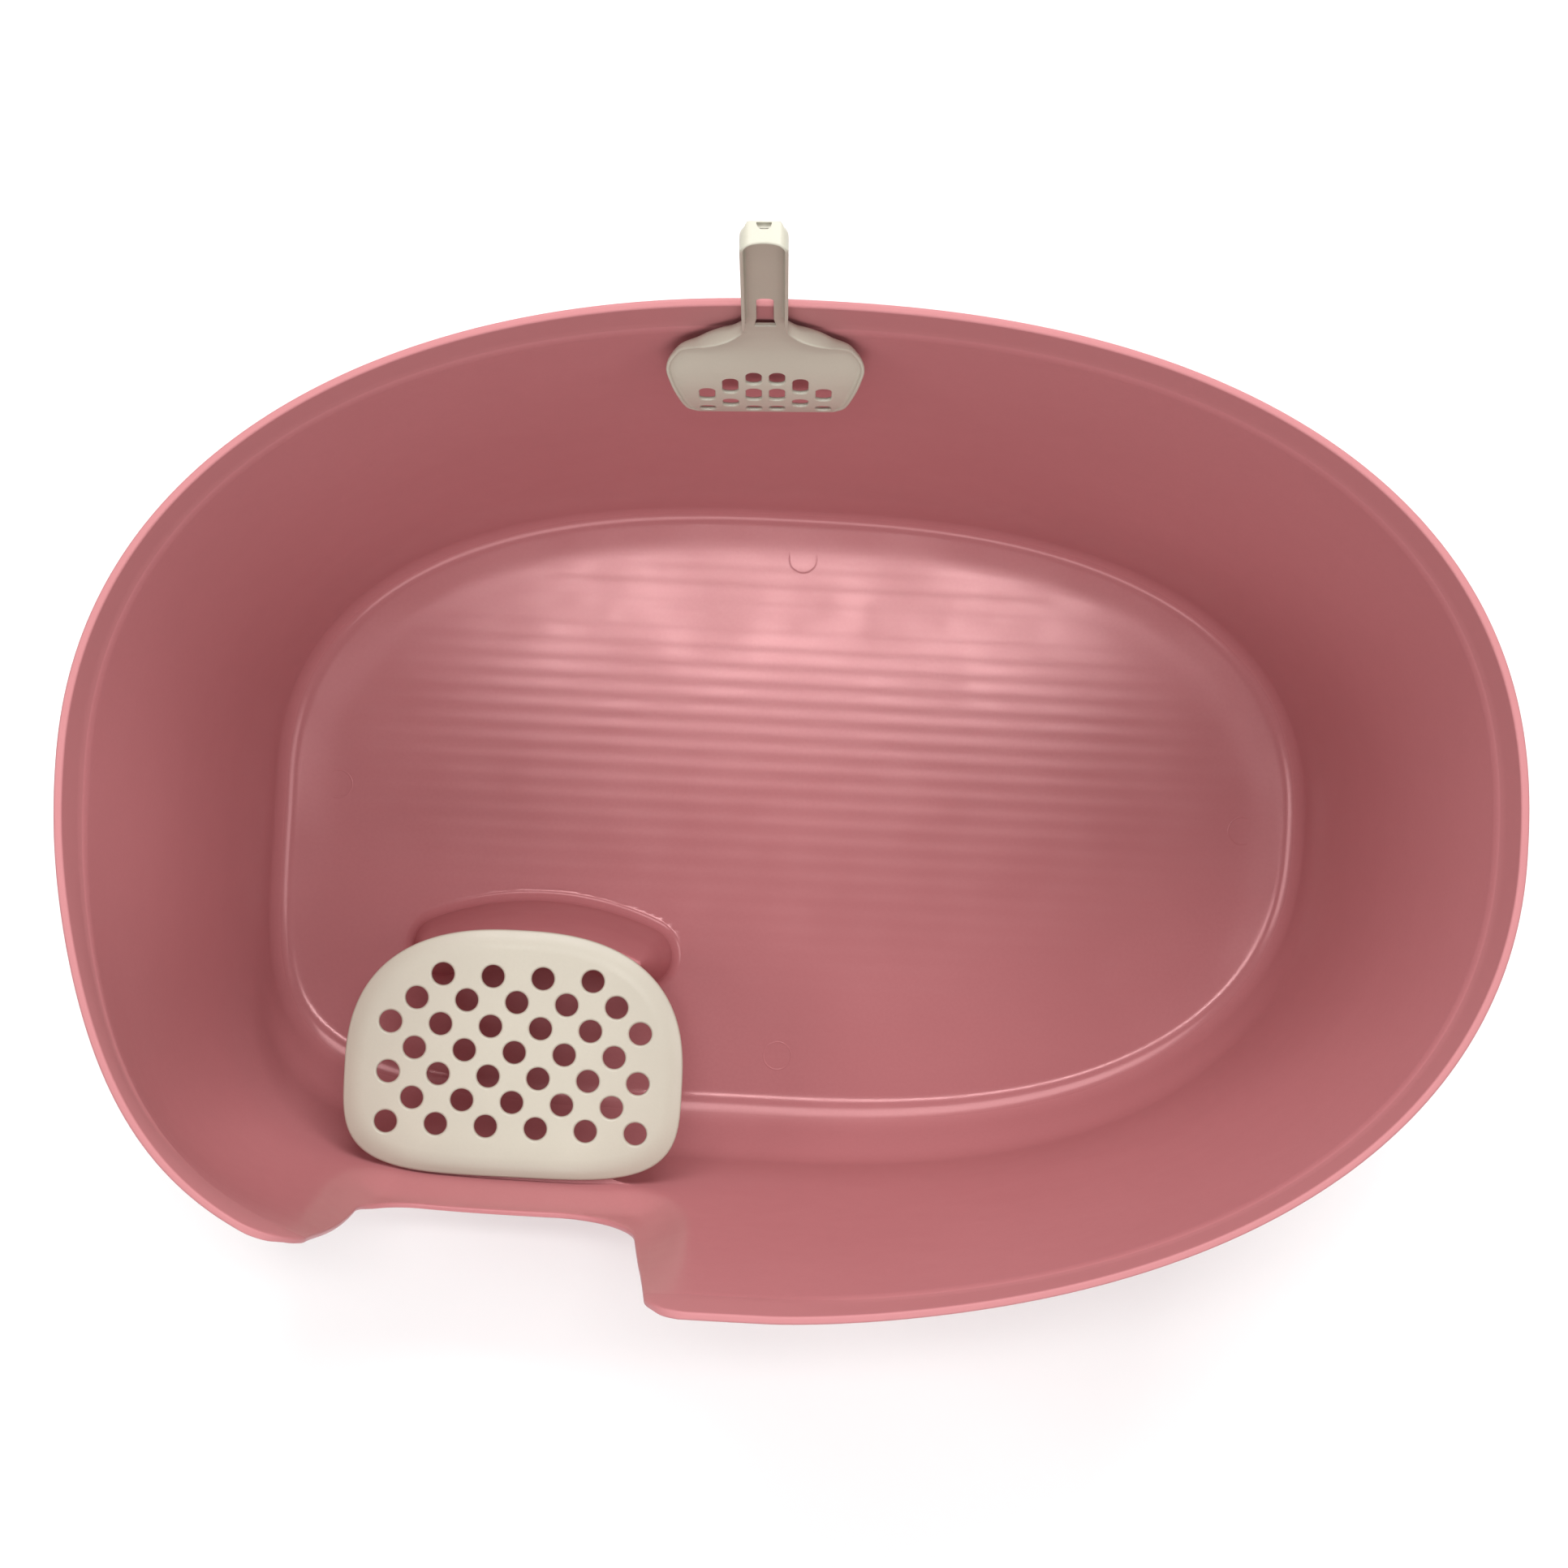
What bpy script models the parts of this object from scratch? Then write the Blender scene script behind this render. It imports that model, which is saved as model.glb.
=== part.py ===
"""High-sided oval litter box: a moulded tub with a low entry, a lift-out step, a hook-on scoop and feet.

Lengths are metres and +Z is up. The ground is z = 0. Left is -X, the entry is in the front wall (-Y), and
the scoop hangs on the rear rim (+Y). The tub's sections are worked out from its own axis. Then the whole
part is moved so that the middle of its overall footprint is the origin.
"""

import math

import bmesh
import bpy
from mathutils import Matrix, Vector

# Tub: overall
RIM_LENGTH = 0.600
RIM_DEPTH = 0.417
RIM_HEIGHT = 0.290
WALL = 0.0026
FLOOR_THICKNESS = 0.0030
FOOT_STAND = 0.0020

# Tub: rim lip and the grained band under it
RIM_LIP = 0.0038
RIM_ROUND = 0.0011
BAND_HEIGHT = 0.0240
BAND_STEP = 0.0007
BAND_EASE = 0.0016

# Tub: floor, its fillet and the low shoulder above it
FLOOR_LENGTH = 0.4994
FLOOR_DEPTH = 0.2930
FLOOR_FILLET = 0.0090
SHOULDER_HEIGHT = 0.0250
SHOULDER_END = 0.0043
SHOULDER_REAR = 0.0052
SHOULDER_FRONT = 0.0236

# Tub: how square the outline is, as the power of its superellipse, at the floor and at places round the rim
FLOOR_POWER = 2.42
ENTRY_FLOOR_POWER = 5.0
ENTRY_SILL_POWER = 6.0
RIM_POWER_REAR_RIGHT = 2.33
RIM_POWER_REAR_LEFT = 2.20
RIM_POWER_LEFT = 2.28
RIM_POWER_ENTRY = 3.22
RIM_POWER_FRONT = 1.76
RIM_POWER_FRONT_RIGHT = 2.12

# Entry: where it is, the opening in the front wall and the swelling of the wall round it
ENTRY_X = -0.1220
SILL_HEIGHT = 0.1195
ENTRY_REACH_LEFT = 0.0620
ENTRY_REACH_RIGHT = 0.0595
ENTRY_FLARE_LEFT = 0.0020
ENTRY_FLARE_RIGHT = 0.0165
ENTRY_RIM_ROUND_LEFT = 0.0210
ENTRY_RIM_ROUND_RIGHT = 0.0340
ENTRY_SILL_ROUND_LEFT = 0.0330
ENTRY_SILL_ROUND_RIGHT = 0.0260
LEDGE_TUCK = 0.0045
LEDGE_REACH = 0.0520
LEDGE_OUT = 0.0018
BAY_OUT = 0.0080
BAY_REACH_LEFT = 0.0750
BAY_REACH_RIGHT = 0.0770
BAY_CORNER_WIDTH = 0.0370
BAY_CORNER_HEIGHT = 0.0600
BAY_EASE = 0.0110

# Step plate
PLATE_WIDTH = 0.1566
PLATE_REAR_DEPTH = 0.0670
PLATE_FRONT_DEPTH = 0.0465
PLATE_WALL_GAP = 0.0022
PLATE_TOP = 0.0973
PLATE_THICKNESS = 0.0026
PLATE_SKIRT = 0.0050
PLATE_SKIRT_WALL = 0.0022
PLATE_CROWN_WIDTH = 0.0095
PLATE_CROWN_DROP = 0.0018
PLATE_REAR_POWER = 2.5
PLATE_FRONT_POWER = 3.9
HOLE_DIAMETER = 0.0105
HOLE_PITCH = 0.0232
HOLE_COLUMNS = 6
HOLE_ROW_SETBACK = 0.0219
HOLE_REACH_SHARE = 0.6

# Saddle: the hollow hump that carries the plate's rear edge
SADDLE_SPAN = 0.0950
SADDLE_RISE = 0.0102
SADDLE_SETBACK = 0.0030
SADDLE_OFFSET = 0.0065
SADDLE_CREST_HALF = 0.0023
SADDLE_BASE_HALF = 0.0190
SADDLE_FILLET = 0.0050
SADDLE_HOLLOW_TIP = 0.0008

# Scoop, in its own lengths: across, along the wall from the rim's top edge, and away from the wall
SCOOP_X = -0.0214
SCOOP_YAW = math.radians(2.5)
SCOOP_WALL = 0.0018
SCOOP_STANDOFF = 0.0006
HANDLE_WIDTH = 0.0186
HANDLE_DEPTH = 0.0095
HANDLE_ABOVE_RIM = 0.0980
HANDLE_END_ROUND = 0.0060
HEAD_WIDTH = 0.0834
HEAD_BELOW_RIM = 0.0975
HEAD_STANDOUT = 0.0122
SHOULDER_WALL = 0.0085
SLOT_WIDTH = 0.0066
SLOT_LENGTH = 0.0125
SLOT_PITCH_ACROSS = 0.0099
SLOT_PITCH_ALONG = 0.0158
SLOT_FIRST_ROW = 0.0100
HANG_HOLE_WIDTH = 0.0070
HANG_HOLE_TOP = 0.0160
HANG_HOLE_BOTTOM = 0.0160
HOOK_THICKNESS = 0.0020
HOOK_DROP = 0.0180
HOOK_GAP = 0.0008
END_NOTCH_WIDTH = 0.0058

# Feet
FOOT_DIAMETER = 0.0140
FOOT_THICKNESS = 0.0027
FOOT_EASE = 0.0005
FOOT_END_INSET = 0.0277
FOOT_SIDE_INSET = 0.0245
SOCKET_DEPTH = 0.0010

# Fits shared by all the pieces
GAP = 0.0003
OVERRUN = 0.0100
SEAM = 0.0006

# Facets
QUARTER_STATIONS = 24
ENTRY_STATIONS = 44
PLATE_STATIONS = 56
ARC_STEPS = 5

FLOOR_TOP = FOOT_STAND + FLOOR_THICKNESS
SHOULDER_TOP = FLOOR_TOP + SHOULDER_HEIGHT
BAND_FOOT = RIM_HEIGHT - BAND_HEIGHT
PLATE_UNDERSIDE = PLATE_TOP - PLATE_SKIRT
REST_HEIGHT = PLATE_UNDERSIDE - GAP
REAR_LEAN = math.atan2(
    (RIM_DEPTH - FLOOR_DEPTH) / 2 - RIM_LIP - SHOULDER_REAR, RIM_HEIGHT - SHOULDER_TOP
)
RIM_INSIDE_REAR = RIM_DEPTH / 2 - RIM_LIP


def mix(low, high, share):
    """The value that lies this share of the way from low to high."""
    return low + (high - low) * share


def ease(low, high, value):
    """0 below low, 1 above high, and a smooth rise between them."""
    share = min(max((value - low) / (high - low), 0.0), 1.0)
    return share * share * (3 - 2 * share)


def superellipse(angle, half_x, half_y, power):
    """Distance from the centre to a superellipse in the direction of this angle."""
    across = abs(math.cos(angle)) / half_x
    along = abs(math.sin(angle)) / half_y
    return (across**power + along**power) ** (-1 / power)


# Outlines of the tub


def outline_power(angle, z):
    """How square the outline is in this direction at this height. Each quarter has its own curve."""
    quarter = int(angle // (math.pi / 2))
    turn = angle / (math.pi / 2) - quarter
    up = min(max((z - FLOOR_TOP) / (RIM_HEIGHT - FLOOR_TOP), 0.0), 1.0)
    if quarter == 0:
        return mix(FLOOR_POWER, RIM_POWER_REAR_RIGHT, up)
    if quarter == 1:
        return mix(FLOOR_POWER, RIM_POWER_REAR_LEFT, up)
    if quarter == 2:
        rim_power = mix(RIM_POWER_LEFT, RIM_POWER_ENTRY, ease(0.0, 0.5, turn))
        low_power = mix(ENTRY_FLOOR_POWER, ENTRY_SILL_POWER, ease(FLOOR_TOP, SILL_HEIGHT, z))
        return mix(low_power, rim_power, ease(SILL_HEIGHT, RIM_HEIGHT, z))
    return mix(FLOOR_POWER, mix(RIM_POWER_FRONT_RIGHT, RIM_POWER_FRONT, (1 - turn) ** 2), up)


def plateau(x, left, right):
    """1 between left and right, 0 outside them, with a smooth step at each end."""
    return ease(left - BAY_EASE, left + BAY_EASE, x) - ease(right - BAY_EASE, right + BAY_EASE, x)


def bay_corner(z):
    """How far the bay's lower right corner is rounded off at this height."""
    down = 1 - min(max((z - REST_HEIGHT) / BAY_CORNER_HEIGHT, 0.0), 1.0)
    return BAY_CORNER_WIDTH * (1 - math.sqrt(1 - down**2))


def bay_swell(x, z):
    """How far the wall swells out round the entry: in under the ledge, out above it, and 0 at the rim."""
    if z <= REST_HEIGHT - GAP:
        across = plateau(x, ENTRY_X - LEDGE_REACH, ENTRY_X + LEDGE_REACH)
        return -LEDGE_TUCK * across * ease(SHOULDER_TOP, REST_HEIGHT, z)
    across = plateau(x, ENTRY_X - BAY_REACH_LEFT, ENTRY_X + BAY_REACH_RIGHT - bay_corner(z))
    rise = ease(REST_HEIGHT, SILL_HEIGHT, z)
    fade = 1 - ease(SILL_HEIGHT + ENTRY_SILL_ROUND_LEFT, RIM_HEIGHT, z)
    return across * fade * mix(LEDGE_OUT, BAY_OUT, rise)


def wall_reach(level, rear):
    """How far the inner wall reaches from the tub's axis at this height, along X and along Y."""
    low = min(max((level - FLOOR_TOP) / SHOULDER_HEIGHT, 0.0), 1.0)
    high = min(max((level - SHOULDER_TOP) / (RIM_HEIGHT - SHOULDER_TOP), 0.0), 1.0)
    shoulder = SHOULDER_REAR if rear else SHOULDER_FRONT
    half_x = mix(FLOOR_LENGTH / 2 + SHOULDER_END * low, RIM_LENGTH / 2 - RIM_LIP, high)
    half_y = mix(FLOOR_DEPTH / 2 + shoulder * low, RIM_DEPTH / 2 - RIM_LIP, high)
    return half_x, half_y


def inside_point(angle, z, offset, level):
    """A point at height z set out from the inner wall by an offset. The outline is the one at the level."""
    rear = math.sin(angle) >= 0
    half_x, half_y = wall_reach(level, rear)
    radius = superellipse(angle, half_x, half_y, outline_power(angle, level)) + offset
    x = radius * math.cos(angle)
    swell = 0.0 if rear else bay_swell(x, level)
    return Vector((x, radius * math.sin(angle) - swell, z))


def plate_y():
    """Where the plate's widest line lies: its front edge just clears the wall under the entry."""
    half_x, half_y = wall_reach(PLATE_TOP, False)
    power = outline_power(math.pi * 1.5 - math.asin(-ENTRY_X / half_x), PLATE_TOP)
    wall = -half_y * (1 - (-ENTRY_X / half_x) ** power) ** (1 / power)
    return wall + PLATE_WALL_GAP + PLATE_FRONT_DEPTH


def saddle_place():
    """The middle of the saddle's crest, just inside the plate's rear edge."""
    return Vector((ENTRY_X + SADDLE_OFFSET, plate_y() + PLATE_REAR_DEPTH - SADDLE_SETBACK))


def station_angles():
    """Directions round the tub's axis, closer together in the quarter that holds the entry."""
    angles = []
    for quarter, count in enumerate(
        (QUARTER_STATIONS, QUARTER_STATIONS, ENTRY_STATIONS, QUARTER_STATIONS)
    ):
        angles += [math.pi / 2 * (quarter + step / count) for step in range(count)]
    return angles


def ring_of(angles, z, offset, level=None):
    """One ring of the tub, set out from its inner wall, with the outline of its own or another level."""
    return [inside_point(angle, z, offset, z if level is None else level) for angle in angles]


# Mesh helpers


def lofted(name, rings):
    """A closed mesh object through these rings, each of the same number of points, capped at both ends."""
    mesh = bmesh.new()
    rows = [[mesh.verts.new(point) for point in ring] for ring in rings]
    count = len(rings[0])
    for below, above in zip(rows, rows[1:]):
        for i in range(count):
            j = (i + 1) % count
            mesh.faces.new((below[i], below[j], above[j], above[i]))
    mesh.faces.new(rows[0][::-1])
    mesh.faces.new(rows[-1])
    return finished(name, mesh)


def finished(name, mesh):
    """Turns a bmesh into a smooth-shaded object of the scene, with its faces pointing out."""
    bmesh.ops.recalc_face_normals(mesh, faces=mesh.faces)
    data = bpy.data.meshes.new(name)
    mesh.to_mesh(data)
    mesh.free()
    data.shade_smooth()
    data.set_sharp_from_angle(angle=math.radians(32))
    made = bpy.data.objects.new(name, data)
    bpy.context.scene.collection.objects.link(made)
    return made


def prism(name, outline, depth_low, depth_high, place):
    """A solid from a flat outline, drawn out between two depths. place turns (u, v, depth) into a point."""
    low = [place(u, v, depth_low) for u, v in outline]
    high = [place(u, v, depth_high) for u, v in outline]
    return lofted(name, [low, high])


def as_helper(helper):
    """Leaves an object out of the part: it only adds to, or cuts, another one."""
    helper.hide_render = True
    helper.display_type = "WIRE"
    return helper


def combine(target, helper, operation):
    """Adds a Boolean to the target that joins or cuts the helper, which goes wherever the target goes."""
    as_helper(helper)
    helper.parent = target
    modifier = target.modifiers.new(helper.name, "BOOLEAN")
    modifier.operation = operation
    modifier.solver = "EXACT"
    modifier.object = helper


def even_shading(target):
    """Lets the large faces set the shading, so that flat stretches beside a rounding look flat."""
    modifier = target.modifiers.new("even_shading", "WEIGHTED_NORMAL")
    modifier.keep_sharp = True


def rounded_corners(corners):
    """An outline whose corners, given as (u, v, radius), are turned into short arcs."""
    points = []
    count = len(corners)
    for i, (u, v, radius) in enumerate(corners):
        here = Vector((u, v))
        if radius <= 0:
            points.append((u, v))
            continue
        before = (Vector(corners[i - 1][:2]) - here).normalized()
        after = (Vector(corners[(i + 1) % count][:2]) - here).normalized()
        half = before.angle(after) / 2
        centre = here + (before + after).normalized() * (radius / math.sin(half))
        start = here + before * (radius / math.tan(half)) - centre
        end = here + after * (radius / math.tan(half)) - centre
        swing = start.angle_signed(end)
        for step in range(ARC_STEPS + 1):
            turned = Matrix.Rotation(-swing * step / ARC_STEPS, 2) @ start
            points.append(tuple(centre + turned))
    return points


def material(name, colour, roughness):
    """A Principled material of one colour and one roughness."""
    made = bpy.data.materials.new(name)
    made.use_nodes = True
    shader = made.node_tree.nodes["Principled BSDF"]
    shader.inputs["Base Color"].default_value = (*colour, 1.0)
    shader.inputs["Roughness"].default_value = roughness
    shader.inputs["Metallic"].default_value = 0.0
    return made


# Tub


def tub_rings():
    """Rings of the tub's section: up the inside from the floor, over the rim and down the outside."""
    angles = station_angles()
    fillet_turns = [math.radians(turn) for turn in (0, 18, 36, 54)]
    outer = FLOOR_FILLET + FLOOR_THICKNESS
    rings = []
    for turn in fillet_turns:
        out = FLOOR_FILLET * (math.sin(turn) - 1)
        up = FLOOR_FILLET * (1 - math.cos(turn))
        rings.append(ring_of(angles, FLOOR_TOP + up, out, FLOOR_TOP))
    shoulder_heights = (SHOULDER_TOP - SHOULDER_HEIGHT / 6, SHOULDER_TOP + SHOULDER_HEIGHT / 5)
    wall_heights = (
        mix(SHOULDER_TOP, REST_HEIGHT, 0.5),
        REST_HEIGHT - GAP,
        REST_HEIGHT,
        mix(REST_HEIGHT, SILL_HEIGHT, 0.5),
        SILL_HEIGHT,
        SILL_HEIGHT + ENTRY_SILL_ROUND_LEFT,
        mix(SILL_HEIGHT, BAND_FOOT, 0.5),
        mix(SILL_HEIGHT, BAND_FOOT, 0.75),
    )
    for height in shoulder_heights + wall_heights:
        rings.append(ring_of(angles, height, 0.0))
    rings.append(ring_of(angles, BAND_FOOT - BAND_EASE, 0.0))
    rings.append(ring_of(angles, BAND_FOOT, BAND_STEP))
    rings.append(ring_of(angles, RIM_HEIGHT - RIM_ROUND, 0.0))
    rings.append(ring_of(angles, RIM_HEIGHT, RIM_ROUND))
    rings.append(ring_of(angles, RIM_HEIGHT, RIM_LIP - RIM_ROUND, RIM_HEIGHT))
    rings.append(ring_of(angles, RIM_HEIGHT - RIM_ROUND, RIM_LIP))
    rings.append(ring_of(angles, BAND_FOOT, RIM_LIP))
    rings.append(ring_of(angles, BAND_FOOT - BAND_EASE, WALL))
    for height in reversed(shoulder_heights + wall_heights):
        rings.append(ring_of(angles, height - WALL / 2, WALL, height))
    for turn in reversed(fillet_turns):
        out = outer * math.sin(turn) - FLOOR_FILLET
        up = FLOOR_FILLET - outer * math.cos(turn)
        rings.append(ring_of(angles, FLOOR_TOP + up, out, FLOOR_TOP))
    return rings


def entry_cutter():
    """Cuts the entry: a low sill, nearly upright sides and rounded corners, seen from the front."""
    left = ENTRY_X - ENTRY_REACH_LEFT
    right = ENTRY_X + ENTRY_REACH_RIGHT
    top_left = left - ENTRY_FLARE_LEFT
    top_right = right + ENTRY_FLARE_RIGHT
    far_left = top_left - ENTRY_RIM_ROUND_LEFT - OVERRUN
    far_right = top_right + ENTRY_RIM_ROUND_RIGHT + OVERRUN
    above = RIM_HEIGHT + OVERRUN
    top = RIM_HEIGHT + RIM_ROUND / 2
    corners = [
        (far_left, top, 0),
        (top_left, top, ENTRY_RIM_ROUND_LEFT),
        (left, SILL_HEIGHT, ENTRY_SILL_ROUND_LEFT),
        (right, SILL_HEIGHT, ENTRY_SILL_ROUND_RIGHT),
        (top_right, top, ENTRY_RIM_ROUND_RIGHT),
        (far_right, top, 0),
        (far_right, above, 0),
        (far_left, above, 0),
    ]
    front = -RIM_DEPTH / 2 - OVERRUN
    back = plate_y()
    return prism(
        "entry_cutter", rounded_corners(corners), front, back, lambda u, v, depth: Vector((u, depth, v))
    )


def saddle_outline(half, z, steps=10, cap_steps=5):
    """One level of the saddle: all points at this distance from its curved crest line."""
    radius = (SADDLE_SPAN**2 / 4 + SADDLE_RISE**2) / (2 * SADDLE_RISE)
    centre = saddle_place() - Vector((0.0, radius))
    swing = math.asin(SADDLE_SPAN / 2 / radius)
    points = []
    for step in range(steps + 1):
        angle = math.pi / 2 + swing * (1 - 2 * step / steps)
        points.append(centre + (radius + half) * Vector((math.cos(angle), math.sin(angle))))
    for step in range(1, cap_steps):
        angle = math.pi / 2 - swing - math.pi * step / cap_steps
        end = centre + radius * Vector((math.sin(swing), math.cos(swing)))
        points.append(end + half * Vector((math.cos(angle), math.sin(angle))))
    for step in range(steps + 1):
        angle = math.pi / 2 - swing * (1 - 2 * step / steps)
        points.append(centre + (radius - half) * Vector((math.cos(angle), math.sin(angle))))
    for step in range(1, cap_steps):
        angle = math.pi * 1.5 + swing - math.pi * step / cap_steps
        end = centre + radius * Vector((-math.sin(swing), math.cos(swing)))
        points.append(end + half * Vector((math.cos(angle), math.sin(angle))))
    return [Vector((point.x, point.y, z)) for point in points]


def saddle_half(z):
    """Half the saddle's width at this height: wide at the floor, narrow at the crest."""
    share = (z - FLOOR_TOP) / (REST_HEIGHT - FLOOR_TOP)
    return mix(SADDLE_BASE_HALF, SADDLE_CREST_HALF, share)


def saddle_solid():
    """The hump itself, flared into the floor, with its crest just under the plate."""
    levels = [
        (FLOOR_TOP - SEAM, SADDLE_FILLET),
        (FLOOR_TOP + SADDLE_FILLET * 0.1, SADDLE_FILLET * 0.6),
        (FLOOR_TOP + SADDLE_FILLET * 0.4, SADDLE_FILLET * 0.22),
        (FLOOR_TOP + SADDLE_FILLET, 0.0),
        (REST_HEIGHT - SADDLE_CREST_HALF, 0.0),
    ]
    rings = [saddle_outline(saddle_half(z) + flare, z) for z, flare in levels]
    rings.append(saddle_outline(SADDLE_CREST_HALF / 2, REST_HEIGHT))
    return lofted("saddle_solid", rings)


def saddle_hollow():
    """The hollow under the hump, open below, that keeps its walls as thin as the rest."""
    share = (SADDLE_BASE_HALF - WALL - SADDLE_HOLLOW_TIP) / (SADDLE_BASE_HALF - SADDLE_CREST_HALF)
    top = mix(FLOOR_TOP, REST_HEIGHT, share)
    levels = (FOOT_STAND - OVERRUN, FLOOR_TOP, top)
    return lofted("saddle_hollow", [saddle_outline(saddle_half(z) - WALL, z) for z in levels])


def foot_places():
    """Name and place of each foot, at the ends of the floor's two axes."""
    out_long = FLOOR_LENGTH / 2 - FOOT_END_INSET
    out_short = FLOOR_DEPTH / 2 - FOOT_SIDE_INSET
    return {
        "foot_left": (-out_long, 0.0),
        "foot_right": (out_long, 0.0),
        "foot_front": (0.0, -out_short),
        "foot_rear": (0.0, out_short),
    }


def disc(name, diameter, low, high, segments=24, eased=0.0):
    """A round block on the Z axis, with its lower edge eased."""
    turns = [math.tau * step / segments for step in range(segments)]

    def ring(radius, z):
        return [Vector((radius * math.cos(turn), radius * math.sin(turn), z)) for turn in turns]

    rings = [ring(diameter / 2 - eased, low)] if eased else []
    rings += [ring(diameter / 2, low + eased), ring(diameter / 2, high)]
    return lofted(name, rings)


def build_tub(finish):
    """The one-piece tub, with its entry, its saddle and the sockets for its feet."""
    tub = lofted("tub", tub_rings())
    tub.data.materials.append(finish)
    combine(tub, saddle_solid(), "UNION")
    combine(tub, saddle_hollow(), "DIFFERENCE")
    combine(tub, entry_cutter(), "DIFFERENCE")
    for name, (x, y) in foot_places().items():
        socket = disc(
            f"socket_{name}", FOOT_DIAMETER + 2 * GAP, FOOT_STAND - OVERRUN, FOOT_STAND + SOCKET_DEPTH
        )
        socket.location = (x, y, 0.0)
        combine(tub, socket, "DIFFERENCE")
    even_shading(tub)
    return tub


# Step plate


def plate_ring(inset, z):
    """One ring of the plate's outline, set in by this much: an arch at the rear, nearly straight in front."""
    points = []
    for step in range(PLATE_STATIONS):
        angle = math.tau * step / PLATE_STATIONS
        rear = math.sin(angle) >= 0
        depth = PLATE_REAR_DEPTH if rear else PLATE_FRONT_DEPTH
        power = PLATE_REAR_POWER if rear else PLATE_FRONT_POWER
        radius = superellipse(angle, PLATE_WIDTH / 2 - inset, depth - inset, power)
        points.append(Vector((radius * math.cos(angle), radius * math.sin(angle), z)))
    return points


def hole_places():
    """Centres of the plate's holes: staggered rows, leaving out those too near its edge."""
    places = []
    first = PLATE_REAR_DEPTH - HOLE_ROW_SETBACK
    last = HOLE_ROW_SETBACK - PLATE_FRONT_DEPTH
    rows = 1 + int((first - last) / (HOLE_PITCH / 2))
    for row in range(rows):
        y = first - row * HOLE_PITCH / 2
        depth = PLATE_REAR_DEPTH if y > 0 else PLATE_FRONT_DEPTH
        power = PLATE_REAR_POWER if y > 0 else PLATE_FRONT_POWER
        columns = HOLE_COLUMNS - row % 2
        for column in range(columns):
            x = (column - (columns - 1) / 2) * HOLE_PITCH
            reach = (abs(x) / (PLATE_WIDTH / 2)) ** power + (abs(y) / depth) ** power
            if reach < HOLE_REACH_SHARE:
                places.append((x, y))
    return places


def hole_cutter():
    """All the plate's holes as one cutter."""
    mesh = bmesh.new()
    for x, y in hole_places():
        bmesh.ops.create_cone(
            mesh,
            cap_ends=True,
            segments=12,
            radius1=HOLE_DIAMETER / 2,
            radius2=HOLE_DIAMETER / 2,
            depth=PLATE_SKIRT + 2 * OVERRUN,
            matrix=Matrix.Translation((x, y, 0.0)),
        )
    return finished("hole_cutter", mesh)


def build_plate(finish):
    """The lift-out step: a crowned plate with a turned-down edge and staggered round holes."""
    skirt_foot = -PLATE_SKIRT
    rings = [
        plate_ring(PLATE_CROWN_WIDTH, 0.0),
        plate_ring(PLATE_CROWN_WIDTH / 2, -PLATE_CROWN_DROP / 4),
        plate_ring(PLATE_CROWN_WIDTH / 6, -PLATE_CROWN_DROP),
        plate_ring(0.0, -PLATE_CROWN_DROP * 1.8),
        plate_ring(0.0, skirt_foot),
        plate_ring(PLATE_SKIRT_WALL, skirt_foot),
        plate_ring(PLATE_CROWN_WIDTH / 2, -PLATE_THICKNESS - PLATE_CROWN_DROP / 2),
        plate_ring(PLATE_CROWN_WIDTH, -PLATE_THICKNESS),
    ]
    plate = lofted("step_plate", rings)
    plate.data.materials.append(finish)
    combine(plate, hole_cutter(), "DIFFERENCE")
    even_shading(plate)
    plate.location = (ENTRY_X, plate_y(), PLATE_TOP)
    return plate


# Scoop


def head_stations():
    """Rows up the scoop's head: height along the wall, half width, web depth and height of its sides."""
    half = HEAD_WIDTH / 2
    neck = HANDLE_WIDTH / 2
    # From the lip up: shares of the head's length, of its width beyond the neck, stand-out and sides
    station_shares = (
        (0.000, 0.58, 0.88, 0.00),
        (0.015, 0.66, 0.90, 0.02),
        (0.050, 0.76, 0.94, 0.07),
        (0.140, 0.86, 1.00, 0.19),
        (0.250, 0.92, 0.98, 0.30),
        (0.350, 0.97, 0.88, 0.35),
        (0.460, 1.00, 0.66, 0.38),
        (0.550, 0.96, 0.42, 0.42),
        (0.610, 0.89, 0.28, 0.48),
        (0.665, 0.80, 0.19, 0.56),
        (0.710, 0.68, 0.13, 0.66),
        (0.750, 0.56, 0.09, 0.78),
        (0.790, 0.41, 0.05, 0.88),
        (0.830, 0.25, 0.03, 0.96),
        (0.870, 0.11, 0.00, 1.00),
        (0.910, 0.02, 0.00, 1.00),
        (0.950, 0.00, 0.00, 1.00),
    )
    web = SCOOP_STANDOFF + SCOOP_WALL
    rows = []
    for along_share, width_share, standout_share, wall_share in station_shares:
        along = mix(-HEAD_BELOW_RIM, 0.0, along_share)
        width = mix(neck, half, width_share)
        depth = web + HEAD_STANDOUT * standout_share
        flange = HANDLE_DEPTH - SCOOP_WALL
        wall = mix(0.0, SHOULDER_WALL, wall_share) if wall_share < 1 else flange
        rows.append((along, width, depth, wall))
    return rows


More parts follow.
